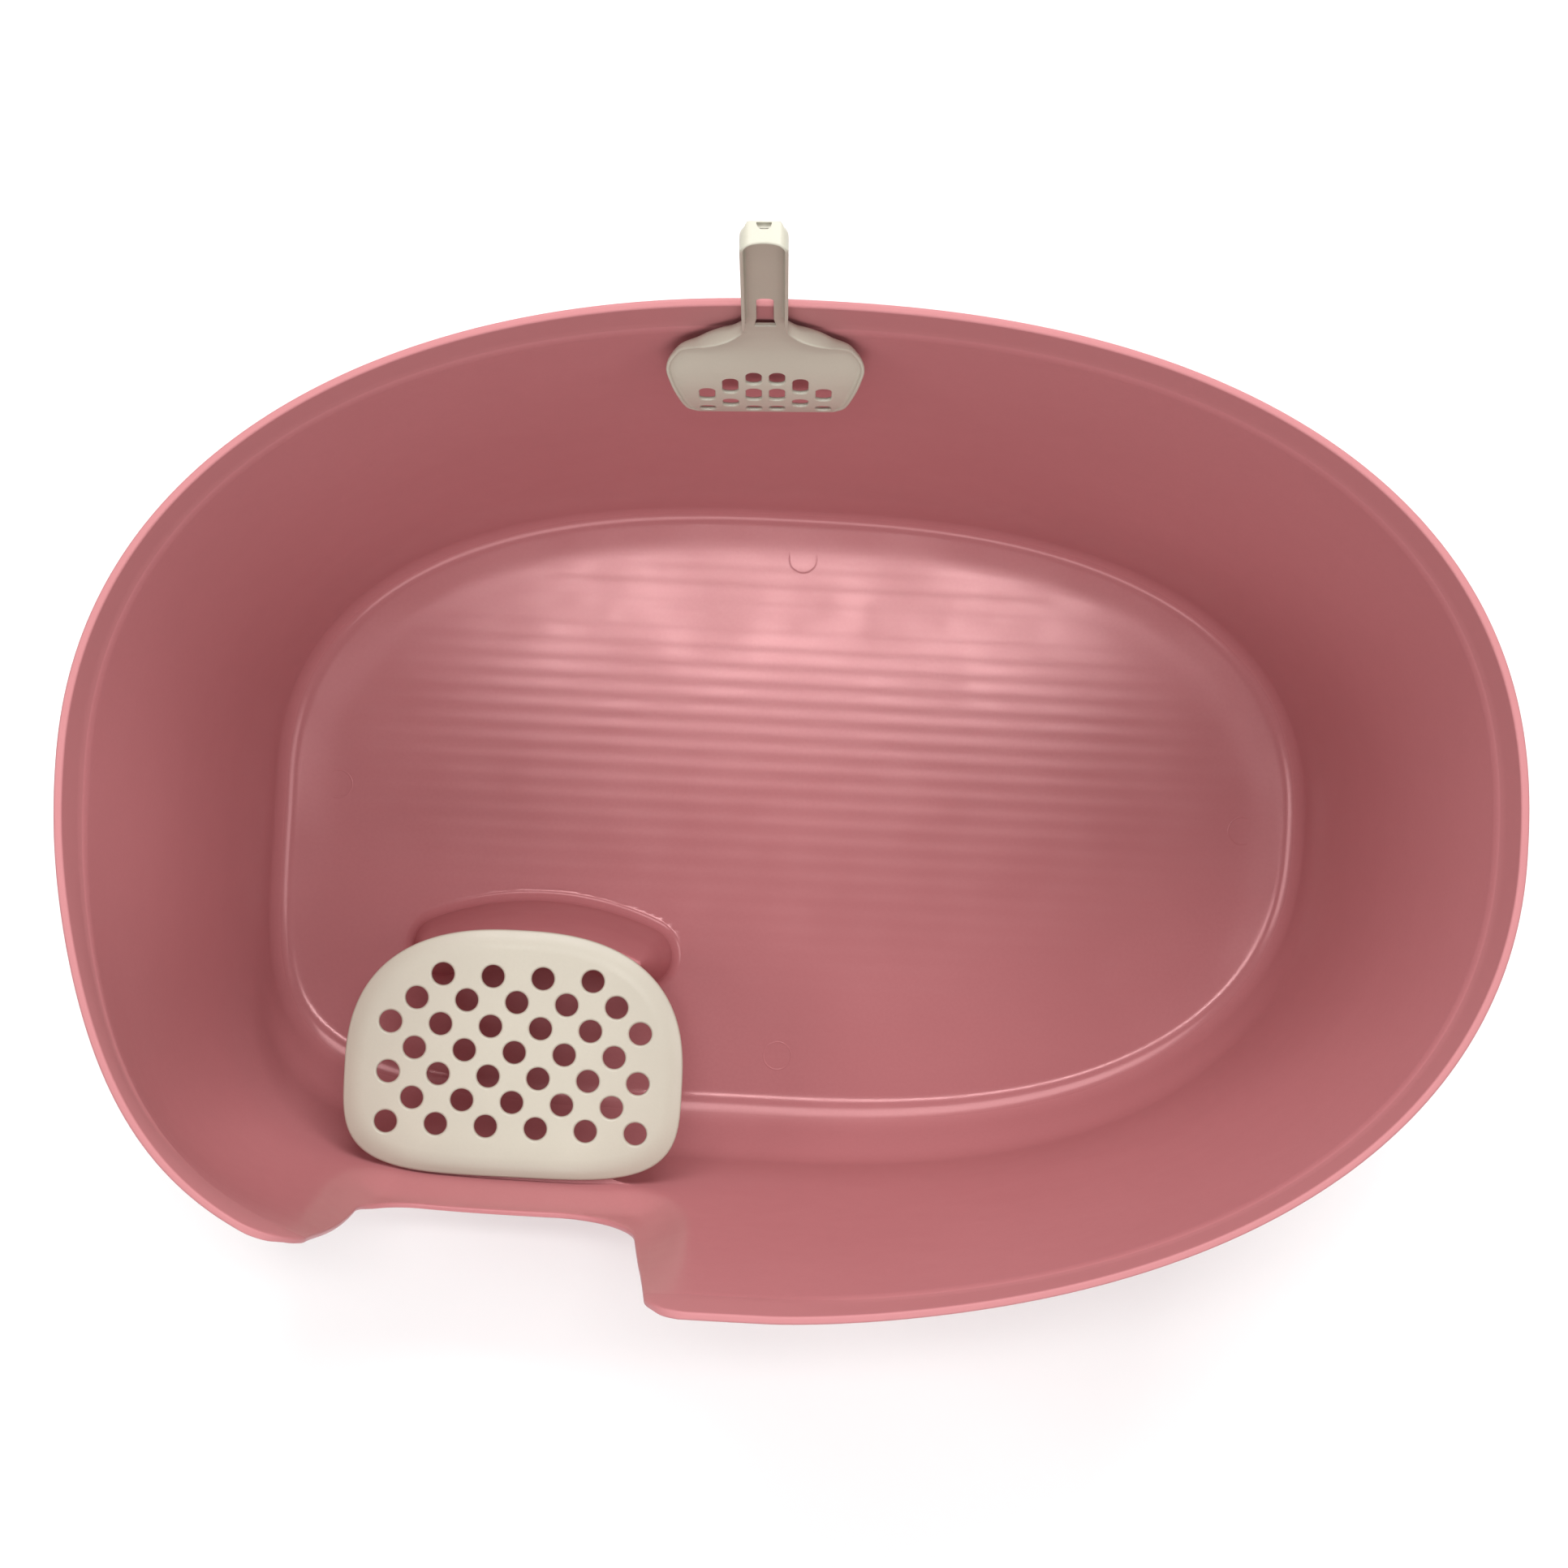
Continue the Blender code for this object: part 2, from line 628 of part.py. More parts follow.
def scoop_section(along, width, depth, wall):
    """One closed ring of the scoop's shell: across its front face, and back along its rear face."""
    flat = width - SCOOP_WALL - min(SCOOP_WALL * 1.5, width * 0.3)
    edge = depth + wall + SCOOP_WALL / 4
    middle = depth + (edge - depth) / 2
    front = [
        (-(width - SCOOP_WALL * 0.8), edge),
        (-(width - SCOOP_WALL), middle),
        (-flat, depth),
        (-flat / 2, depth),
        (0.0, depth),
    ]
    front += [(-across, out) for across, out in reversed(front[:-1])]
    rear = [
        (width, edge),
        (width, middle),
        (width - SCOOP_WALL * 0.6, depth - SCOOP_WALL * 0.7),
        (flat, depth - SCOOP_WALL),
        (flat / 2, depth - SCOOP_WALL),
        (0.0, depth - SCOOP_WALL),
    ]
    rear += [(-across, out) for across, out in reversed(rear[:-1])]
    return [Vector((across, -out, along)) for across, out in front + rear]


def scoop_end():
    """The closed end of the handle, with the small half-round notch in its rear edge."""
    half = HANDLE_WIDTH / 2
    rear = SCOOP_STANDOFF
    top = HANDLE_ABOVE_RIM
    outline = rounded_corners(
        [
            (-half, top - HANDLE_END_ROUND - SCOOP_WALL, 0),
            (half, top - HANDLE_END_ROUND - SCOOP_WALL, 0),
            (half, top, HANDLE_END_ROUND),
            (-half, top, HANDLE_END_ROUND),
        ]
    )
    return prism(
        "scoop_end", outline, -rear - HANDLE_DEPTH, -rear, lambda u, v, depth: Vector((u, depth, v))
    )


def scoop_end_hollow():
    """Opens the handle's end towards its channel, so that the end is a wall and not a block."""
    half = HANDLE_WIDTH / 2 - SCOOP_WALL
    rear = SCOOP_STANDOFF + SCOOP_WALL
    top = HANDLE_ABOVE_RIM - SCOOP_WALL
    outline = rounded_corners(
        [
            (-half, top - HANDLE_END_ROUND - 2 * SCOOP_WALL, 0),
            (half, top - HANDLE_END_ROUND - 2 * SCOOP_WALL, 0),
            (half, top, HANDLE_END_ROUND - SCOOP_WALL),
            (-half, top, HANDLE_END_ROUND - SCOOP_WALL),
        ]
    )
    return prism(
        "scoop_end_hollow",
        outline,
        -rear - HANDLE_DEPTH,
        -rear,
        lambda u, v, depth: Vector((u, depth, v)),
    )


def end_notch():
    """The half-round notch through the handle's end wall, at its rear edge."""
    turns = [math.pi * step / 8 for step in range(9)]
    radius = END_NOTCH_WIDTH / 2
    outline = [
        (radius * math.cos(turn), -SCOOP_STANDOFF - radius * math.sin(turn)) for turn in turns
    ]
    outline += [(-radius, OVERRUN), (radius, OVERRUN)]
    low = HANDLE_ABOVE_RIM - 2 * SCOOP_WALL
    return prism(
        "end_notch", outline, low, HANDLE_ABOVE_RIM + OVERRUN, lambda u, v, depth: Vector((u, v, depth))
    )


def hook_block():
    """The hook on the handle's back: it rests on the rim and drops behind it."""
    half = HANDLE_WIDTH / 2
    rest = RIM_LIP * math.tan(REAR_LEAN) + GAP
    inner = RIM_LIP + HOOK_GAP
    front = -SCOOP_STANDOFF - SCOOP_WALL / 2
    outline = [
        (front, rest),
        (inner, rest),
        (inner, rest - HOOK_DROP),
        (inner + HOOK_THICKNESS, rest - HOOK_DROP),
        (inner + HOOK_THICKNESS, rest + HOOK_THICKNESS),
        (front, rest + HOOK_THICKNESS),
    ]
    return prism("hook_block", outline, -half, half, lambda u, v, depth: Vector((depth, u, v)))


def hang_hole():
    """The round-topped hole at the foot of the handle, through its web and through the hook's top."""
    half = HANG_HOLE_WIDTH / 2
    corners = [
        (-half * 1.25, -HANG_HOLE_BOTTOM, 0),
        (half * 1.25, -HANG_HOLE_BOTTOM, 0),
        (half, -HANG_HOLE_BOTTOM / 2, 0),
        (half, HANG_HOLE_TOP, half * 0.8),
        (-half, HANG_HOLE_TOP, half * 0.8),
        (-half, -HANG_HOLE_BOTTOM / 2, 0),
    ]
    front = -SCOOP_STANDOFF - SCOOP_WALL - HANDLE_DEPTH
    return prism(
        "hang_hole",
        rounded_corners(corners),
        front,
        RIM_LIP,
        lambda u, v, depth: Vector((u, depth, v)),
    )


def slot_cutter():
    """The scoop's staggered slots as one cutter, deepest in the middle columns."""
    mesh = bmesh.new()
    half = SLOT_WIDTH / 2
    for column in range(-3, 3):
        across = (column + 0.5) * SLOT_PITCH_ACROSS
        offset = 0.5 if abs(column + 0.5) == 1.5 else 0.0
        rows = 3 if abs(column + 0.5) == 0.5 else 2
        for row in range(rows):
            up = -HEAD_BELOW_RIM + SLOT_FIRST_ROW + (row + offset) * SLOT_PITCH_ALONG
            corners = rounded_corners(
                [
                    (across - half, up - SLOT_LENGTH / 2, half * 0.6),
                    (across + half, up - SLOT_LENGTH / 2, half * 0.6),
                    (across + half, up + SLOT_LENGTH / 2, half * 0.6),
                    (across - half, up + SLOT_LENGTH / 2, half * 0.6),
                ]
            )
            ends = []
            for depth in (-HEAD_STANDOUT - HANDLE_DEPTH, 0.0):
                ends.append([mesh.verts.new((u, depth, v)) for u, v in corners[::2]])
            count = len(ends[0])
            for i in range(count):
                j = (i + 1) % count
                mesh.faces.new((ends[0][i], ends[0][j], ends[1][j], ends[1][i]))
            mesh.faces.new(ends[0][::-1])
            mesh.faces.new(ends[1])
    return finished("slot_cutter", mesh)


def build_scoop(finish):
    """The scoop: a slotted head with low sides, a channel handle with a closed end, and its hook."""
    rows = head_stations()
    neck = rows[-1]
    rows.append((HANDLE_ABOVE_RIM - HANDLE_END_ROUND - SCOOP_WALL / 2, *neck[1:]))
    scoop = lofted("scoop", [scoop_section(*row) for row in rows])
    scoop.data.materials.append(finish)
    combine(scoop, scoop_end(), "UNION")
    combine(scoop, scoop_end_hollow(), "DIFFERENCE")
    combine(scoop, hook_block(), "UNION")
    combine(scoop, hang_hole(), "DIFFERENCE")
    combine(scoop, end_notch(), "DIFFERENCE")
    combine(scoop, slot_cutter(), "DIFFERENCE")
    even_shading(scoop)
    scoop.location = (SCOOP_X, rim_inside_y(SCOOP_X), RIM_HEIGHT)
    scoop.rotation_euler = (-REAR_LEAN, 0.0, SCOOP_YAW)
    return scoop


def rim_inside_y(x):
    """Y of the rear rim's inner edge at this x."""
    power = RIM_POWER_REAR_LEFT if x < 0 else RIM_POWER_REAR_RIGHT
    share = (abs(x) / (RIM_LENGTH / 2 - RIM_LIP)) ** power
    return RIM_INSIDE_REAR * (1 - share) ** (1 / power)


def build_feet(finish):
    """Four soft discs in the sockets under the floor."""
    feet = []
    for name, (x, y) in foot_places().items():
        foot = disc(name, FOOT_DIAMETER, 0.0, FOOT_THICKNESS, eased=FOOT_EASE)
        foot.data.materials.append(finish)
        foot.location = (x, y, 0.0)
        feet.append(foot)
    return feet


def handle_overhang():
    """How far the leaning handle reaches past the rear rim."""
    reach = RIM_INSIDE_REAR + HANDLE_ABOVE_RIM * math.sin(REAR_LEAN) - SCOOP_STANDOFF
    return reach - RIM_DEPTH / 2


def main():
    """Clears the scene and builds every piece, parented to one empty."""
    for old in list(bpy.data.objects):
        bpy.data.objects.remove(old)
    shell = material("tub_plastic", (0.46, 0.155, 0.165), 0.38)
    accent = material("beige_plastic", (0.60, 0.51, 0.41), 0.42)
    rubber = material("foot_rubber", (0.45, 0.42, 0.40), 0.75)
    root = bpy.data.objects.new("litter_box", None)
    bpy.context.scene.collection.objects.link(root)
    root.location = (0.0, -handle_overhang() / 2, 0.0)
    for piece in [build_tub(shell), build_plate(accent), build_scoop(accent), *build_feet(rubber)]:
        piece.parent = root


main()
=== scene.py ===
"""Looks of the high-sided litter box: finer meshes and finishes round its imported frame, camera and light.

Lengths are metres, +Z is up and the ground is z = 0. The entry is in the front wall (-Y), the scoop hangs on
the rear rim (+Y). The tub's sections are worked out from its own axis, and SHIFT takes them to the row frame.
"""

import logging
import math
from collections.abc import Callable, Sequence
from dataclasses import dataclass
from enum import Enum

import bmesh
import bpy
from mathutils import Matrix, Vector


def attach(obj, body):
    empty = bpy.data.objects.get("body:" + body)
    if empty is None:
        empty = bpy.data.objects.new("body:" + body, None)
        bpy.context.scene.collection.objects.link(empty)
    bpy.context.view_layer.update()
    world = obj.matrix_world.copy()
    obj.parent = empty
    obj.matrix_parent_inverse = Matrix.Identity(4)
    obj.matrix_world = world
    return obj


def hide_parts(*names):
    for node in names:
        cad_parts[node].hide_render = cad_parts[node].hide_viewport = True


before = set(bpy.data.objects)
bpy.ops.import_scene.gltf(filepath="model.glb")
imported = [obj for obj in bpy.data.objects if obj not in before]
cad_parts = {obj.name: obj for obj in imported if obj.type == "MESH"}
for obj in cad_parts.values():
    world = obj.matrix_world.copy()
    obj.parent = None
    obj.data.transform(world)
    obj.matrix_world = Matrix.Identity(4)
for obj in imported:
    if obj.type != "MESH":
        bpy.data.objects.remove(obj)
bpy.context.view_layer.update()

LOG = logging.getLogger("litter_box")
SMOOTH_LIMIT = math.radians(34)
HALVINGS = 40

Pair = tuple[float, float]
Triple = tuple[float, float, float]
Ring = list[Vector]
Profile = list[Pair]
Piece = bpy.types.Object
Socket = bpy.types.NodeSocket


def mix(low: float, high: float, share: float) -> float:
    """The value that lies this share of the way from low to high."""
    return low + (high - low) * share


def evenly(low: float, high: float, steps: int) -> list[float]:
    """Values from low to high in this many even steps, with both ends."""
    return [mix(low, high, step / steps) for step in range(steps + 1)]


def clamped(share: float) -> float:
    """A share, kept between 0 and 1."""
    return min(max(share, 0.0), 1.0)


def ease(low: float, high: float, value: float) -> float:
    """0 below low, 1 above high, and a smooth rise between them."""
    share = clamped((value - low) / (high - low))
    return share * share * (3 - 2 * share)


def quarter_arc(steps: int) -> Profile:
    """A quarter turn in even steps, as 1 less the cosine and 1 less the sine of each."""
    turns = [math.pi / 2 * step / steps for step in range(steps + 1)]
    return [(1 - math.cos(turn), 1 - math.sin(turn)) for turn in turns]


def superellipse(angle: float, half_x: float, half_y: float, power: float) -> float:
    """Distance from the centre to a superellipse in the direction of this angle."""
    across = abs(math.cos(angle)) / half_x
    along = abs(math.sin(angle)) / half_y
    return (across**power + along**power) ** (-1 / power)


def rounded_corners(corners: Sequence[Triple], steps: int) -> Profile:
    """Turns the corners of an outline into arcs.

    Args:
        corners: each corner as (u, v, radius).
        steps: how many runs each arc has.

    Returns:
        The points of the outline.
    """
    points: Profile = []
    count = len(corners)
    for i, (u, v, radius) in enumerate(corners):
        here = Vector((u, v))
        if radius <= 0:
            points.append((u, v))
            continue
        before = (Vector(corners[i - 1][:2]) - here).normalized()
        after = (Vector(corners[(i + 1) % count][:2]) - here).normalized()
        half = before.angle(after) / 2
        centre = here + (before + after).normalized() * (radius / math.sin(half))
        start = here + before * (radius / math.tan(half)) - centre
        end = here + after * (radius / math.tan(half)) - centre
        swing = start.angle_signed(end)
        for step in range(steps + 1):
            turned = Matrix.Rotation(-swing * step / steps, 2) @ start
            points.append(tuple(centre + turned))
    return points


def resampled(points: Profile, spacing: float) -> Profile:
    """Adds points on the long runs of a closed outline.

    Args:
        points: the outline's points.
        spacing: the longest run that may stay.

    Returns:
        The outline with its long runs split evenly.
    """
    result: Profile = []
    for i, (u, v) in enumerate(points):
        next_u, next_v = points[(i + 1) % len(points)]
        runs = max(1, math.ceil(math.hypot(next_u - u, next_v - v) / spacing))
        result += list(zip(evenly(u, next_u, runs), evenly(v, next_v, runs)))[:-1]
    return result


def softened(points: Profile) -> Profile:
    """Evens out a closed outline a little, so that no corner stays sharp."""
    near = zip([points[-1], *points[:-1]], points, [*points[1:], points[0]])
    return [tuple((a + 2 * b + c) / 4 for a, b, c in zip(*trio)) for trio in near]


def outline_normals(points: Profile) -> Profile:
    """Unit vectors that point out of a closed outline whose points run counterclockwise."""
    normals: Profile = []
    for i in range(len(points)):
        before = points[i - 1]
        after = points[(i + 1) % len(points)]
        run = Vector((after[0] - before[0], after[1] - before[1])).normalized()
        normals.append((run.y, -run.x))
    return normals


def moved_out(points: Profile, normals: Profile, out: float) -> Profile:
    """An outline moved out along its normals."""
    return [(u + out * n_u, v + out * n_v) for (u, v), (n_u, n_v) in zip(points, normals)]


def rounded_edge(radius: float, start: float, steps: int) -> Profile:
    """The quarter arc of a rounded edge, as (set back, depth) from the sharp corner.

    Args:
        radius: radius of the rounding.
        start: angle at which the arc leaves the face.
        steps: how many runs the arc has.

    Returns:
        Points from the face down to the cut.
    """
    return [
        (radius * (1 - math.sin(turn)), radius * (math.cos(start) - math.cos(turn)))
        for turn in evenly(start, math.pi / 2, steps)
    ]


def deselect_all() -> None:
    """Takes every object out of the selection."""
    bpy.ops.object.select_all(action="DESELECT")


def grown(name: str, rings: Sequence[Ring]) -> Piece:
    """Grows a closed shell from a circle: each further ring is an extrusion of the ring before it.

    Args:
        name: the new object's name.
        rings: the rings, all with the same number of points.

    Returns:
        The shell, capped at both ends, with its faces pointing out.
    """
    deselect_all()
    bpy.ops.mesh.primitive_circle_add(vertices=len(rings[0]), radius=1.0)
    piece = bpy.context.object
    piece.name = name
    piece.data.name = name
    bpy.ops.object.mode_set(mode="EDIT")
    mesh = bmesh.from_edit_mesh(piece.data)
    station = mesh.verts.layers.int.new("station")
    level = mesh.verts.layers.int.new("level")
    for number, vertex in enumerate(mesh.verts):
        vertex[station] = number
        vertex.co = rings[0][number]
    for height, ring in enumerate(rings[1:], 1):
        bpy.ops.mesh.extrude_edges_indiv()
        mesh = bmesh.from_edit_mesh(piece.data)
        station = mesh.verts.layers.int["station"]
        level = mesh.verts.layers.int["level"]
        for vertex in mesh.verts:
            if vertex.select:
                vertex.co = ring[vertex[station]]
                vertex[level] = height
    for height in (0, len(rings) - 1):
        bpy.ops.mesh.select_all(action="DESELECT")
        mesh = bmesh.from_edit_mesh(piece.data)
        level = mesh.verts.layers.int["level"]
        for vertex in mesh.verts:
            vertex.select = vertex[level] == height
        mesh.select_flush(True)
        bpy.ops.mesh.edge_face_add()
    bpy.ops.mesh.select_all(action="SELECT")
    bpy.ops.mesh.normals_make_consistent(inside=False)
    bpy.ops.object.mode_set(mode="OBJECT")
    return piece


def select(pieces: Sequence[Piece]) -> None:
    """Selects these pieces alone, with the first one active."""
    deselect_all()
    for piece in pieces:
        piece.select_set(True)
    bpy.context.view_layer.objects.active = pieces[0]


def apply_modifier(piece: Piece, name: str) -> None:
    """Applies one modifier of a piece."""
    select([piece])
    bpy.ops.object.modifier_apply(modifier=name)


def joined(pieces: Sequence[Piece], name: str) -> Piece:
    """Joins several meshes into the first one, under this name."""
    select(pieces)
    if len(pieces) > 1:
        bpy.ops.object.join()
    pieces[0].name = name
    pieces[0].data.name = name
    return pieces[0]


class Cut(Enum):
    """What a tool solid does to a piece."""

    ADD = "UNION"
    REMOVE = "DIFFERENCE"


def carve(piece: Piece, tool: Piece, cut: Cut) -> None:
    """Adds a tool solid to a piece, or takes it away, and removes the tool."""
    modifier = piece.modifiers.new("carve", "BOOLEAN")
    modifier.operation = cut.value
    modifier.solver = "EXACT"
    modifier.object = tool
    apply_modifier(piece, modifier.name)
    bpy.data.objects.remove(tool)


def shade(piece: Piece, even: bool = False) -> None:
    """Shades a piece smooth, apart from its sharp edges.

    Args:
        piece: the mesh object.
        even: lets the large faces set the shading round a rounding.
    """
    select([piece])
    bpy.ops.object.shade_smooth_by_angle(angle=SMOOTH_LIMIT)
    if even:
        modifier = piece.modifiers.new("even_shading", "WEIGHTED_NORMAL")
        modifier.keep_sharp = True
        apply_modifier(piece, modifier.name)


def cut_across(
    piece: Piece, pick: Callable[[bmesh.types.BMFace], bool], planes: Sequence[tuple[Vector, Vector]]
) -> None:
    """Cuts the picked faces of a piece along planes, so that they can be shaped between their edges.

    Args:
        piece: the mesh object.
        pick: says whether a face is cut.
        planes: a point and a normal for each plane.
    """
    mesh = bmesh.new()
    mesh.from_mesh(piece.data)
    faces = [face for face in mesh.faces if pick(face)]
    for place, normal in planes:
        edges = {edge for face in faces for edge in face.edges}
        verts = {vert for face in faces for vert in face.verts}
        done = bmesh.ops.bisect_plane(
            mesh, geom=[*verts, *edges, *faces], dist=1e-7, plane_co=place, plane_no=normal
        )
        faces = [item for item in done["geom"] if isinstance(item, bmesh.types.BMFace)]
    mesh.to_mesh(piece.data)
    mesh.free()


def move_points(piece: Piece, place: Callable[[Vector], Vector]) -> None:
    """Moves every point of a piece to the place that the function gives for it."""
    for vertex in piece.data.vertices:
        vertex.co = place(vertex.co)
    piece.data.update()


# Finishes


class Graph:
    """A short way to lay out a material's nodes."""

    def __init__(self, name: str) -> None:
        """Starts a material with only a shader and its output."""
        self.material = bpy.data.materials.new(name)
        self.material.use_nodes = True
        self.tree = self.material.node_tree
        self.shader = self.tree.nodes["Principled BSDF"]
        self.place = self.add("ShaderNodeTexCoord").outputs["Object"]

    def add(self, kind: str, inputs: dict[str, object] | None = None, **settings: object) -> bpy.types.Node:
        """Adds a node.

        Args:
            kind: the node's type.
            inputs: a value or another node's output for each input, by name or number.
            settings: the node's own settings.

        Returns:
            The node.
        """
        node = self.tree.nodes.new(kind)
        for key, value in settings.items():
            setattr(node, key, value)
        for key, value in (inputs or {}).items():
            socket = node.inputs[key]
            if isinstance(value, Socket):
                self.tree.links.new(value, socket)
            else:
                socket.default_value = value
        return node

    def noise(self, scale: float, detail: float = 2.0) -> Socket:
        """A noise over the piece, at this many waves a metre."""
        inputs = {"Vector": self.place, "Scale": scale, "Detail": detail, "Roughness": 0.55}
        return self.add("ShaderNodeTexNoise", inputs).outputs["Fac"]

    def cloud(self, scale: float, detail: float, low: float, high: float, start: float = 0.3) -> Socket:
        """A noise spread out between two values; a higher start leaves more of it at the low one."""
        return self.between(self.noise(scale, detail), start, 0.7, low, high)

    def between(self, value: Socket, start: float, end: float, low: float, high: float) -> Socket:
        """Takes a value from one range smoothly to another."""
        inputs = {"Value": value, "From Min": start, "From Max": end, "To Min": low, "To Max": high}
        return self.add("ShaderNodeMapRange", inputs, interpolation_type="SMOOTHSTEP").outputs["Result"]

    def maths(self, operation: str, first: object, second: object) -> Socket:
        """One sum of two values."""
        return self.add("ShaderNodeMath", {0: first, 1: second}, operation=operation).outputs[0]

    def blend(self, share: object, first: object, second: object) -> Socket:
        """A colour between two others."""
        return self.add("ShaderNodeMix", {0: share, 6: first, 7: second}, data_type="RGBA").outputs[2]

    def relief(self, height: Socket, depth: float) -> None:
        """Gives the finish a relief of this depth in metres."""
        inputs = {"Height": height, "Distance": depth, "Strength": 1.0}
        self.connect(self.add("ShaderNodeBump", inputs).outputs["Normal"], "Normal")

    def connect(self, socket: Socket, name: str) -> None:
        """Feeds one of the shader's inputs."""
        self.tree.links.new(socket, self.shader.inputs[name])


@dataclass(frozen=True)
class TubPlastic:
    """Dusty pink polypropylene: satin walls, a rougher band under the rim and a glossier floor."""

    colour: Triple = (0.46, 0.178, 0.188)
    deep: Triple = (0.43, 0.161, 0.170)
    band: Triple = (0.47, 0.190, 0.198)
    sheen: Triple = (1.0, 0.62, 0.63)
    roughness: float = 0.36
    floor_polish: float = 0.19
    grain_depth: float = 0.00002
    band_foot: float = 0.2655
    band_blur: float = 0.001
    band_share: float = 0.8
    band_rough: float = 0.14
    band_grain: Pair = (0.25, 1.6)
    floor_top: float = 0.0065
    floor_blur: float = 0.003
    cloud_share: float = 0.5
    speck_share: float = 0.35

    def make(self) -> bpy.types.Material:
        """Builds the material."""
        graph = Graph("tub_plastic_finish")
        height = graph.add("ShaderNodeSeparateXYZ", {0: graph.place}).outputs["Z"]
        blur = self.band_blur
        in_band = graph.between(height, self.band_foot - blur, self.band_foot + blur, 0.0, 1.0)
        on_floor = graph.between(height, self.floor_top, self.floor_top + self.floor_blur, 1.0, 0.0)
        cloud = graph.maths("MULTIPLY", graph.cloud(9.0, 3.0, 0.0, 1.0), self.cloud_share)
        speck = graph.cloud(650.0, 1.0, 0.0, self.speck_share)
        tone = graph.blend(cloud, (*self.colour, 1.0), (*self.deep, 1.0))
        tone = graph.blend(speck, tone, (*self.deep, 1.0))
        tone = graph.blend(graph.maths("MULTIPLY", in_band, self.band_share), tone, (*self.band, 1.0))
        graph.connect(tone, "Base Color")
        rough = graph.cloud(30.0, 3.0, self.roughness - 0.02, self.roughness + 0.03)
        rough = graph.maths("ADD", rough, graph.maths("MULTIPLY", in_band, self.band_rough))
        rough = graph.maths("SUBTRACT", rough, graph.maths("MULTIPLY", on_floor, self.floor_polish))
        graph.connect(rough, "Roughness")
        strength = graph.between(in_band, 0.0, 1.0, *self.band_grain)
        graph.relief(graph.maths("MULTIPLY", graph.noise(1100.0), strength), self.grain_depth)
        graph.shader.inputs["Specular Tint"].default_value = (*self.sheen, 1.0)
        return graph.material


@dataclass(frozen=True)
class AccentPlastic:
    """Warm beige polypropylene of the step and the scoop: satin, with a very fine grain."""

    colour: Triple = (0.488, 0.468, 0.385)
    deep: Triple = (0.458, 0.438, 0.360)
    roughness: float = 0.36
    grain_depth: float = 0.00002
    cloud_share: float = 0.6
    speck_share: float = 0.3

    def make(self) -> bpy.types.Material:
        """Builds the material."""
        graph = Graph("accent_plastic_finish")
        cloud = graph.cloud(22.0, 3.0, 0.0, self.cloud_share)
        tone = graph.blend(cloud, (*self.colour, 1.0), (*self.deep, 1.0))
        speck = graph.cloud(900.0, 1.0, 0.0, self.speck_share, start=0.35)
        graph.connect(graph.blend(speck, tone, (*self.deep, 1.0)), "Base Color")
        graph.connect(graph.cloud(60.0, 3.0, self.roughness - 0.04, self.roughness + 0.05), "Roughness")
        graph.relief(graph.noise(1400.0), self.grain_depth)
        return graph.material


@dataclass(frozen=True)
class FootRubber:
    """Soft grey rubber of the feet, dull and slightly mottled."""

    colour: Triple = (0.45, 0.42, 0.40)
    deep: Triple = (0.36, 0.335, 0.32)
    roughness: float = 0.75
    grain_depth: float = 0.00003

    def make(self) -> bpy.types.Material:
        """Builds the material."""
        graph = Graph("foot_rubber_finish")
        mottle = graph.cloud(500.0, 3.0, 0.0, 0.8, start=0.35)
        graph.connect(graph.blend(mottle, (*self.colour, 1.0), (*self.deep, 1.0)), "Base Color")
        graph.connect(graph.between(mottle, 0.0, 1.0, self.roughness, self.roughness + 0.1), "Roughness")
        graph.relief(graph.noise(1800.0), self.grain_depth)
        return graph.material


@dataclass(frozen=True)
class StudioFloor:
    """The pale studio floor: nearly white, dull, with the faintest unevenness."""

    colour: Triple = (0.93, 0.93, 0.93)
    deep: Triple = (0.915, 0.915, 0.915)

    def make(self) -> bpy.types.Material:
        """Builds the material."""
        graph = Graph("studio_floor_finish")
        cloud = graph.cloud(3.0, 2.0, 0.0, 1.0)
        graph.connect(graph.blend(cloud, (*self.colour, 1.0), (*self.deep, 1.0)), "Base Color")
        graph.shader.inputs["Roughness"].default_value = 0.9
        graph.shader.inputs["Specular IOR Level"].default_value = 0.1
        return graph.material


# Tub


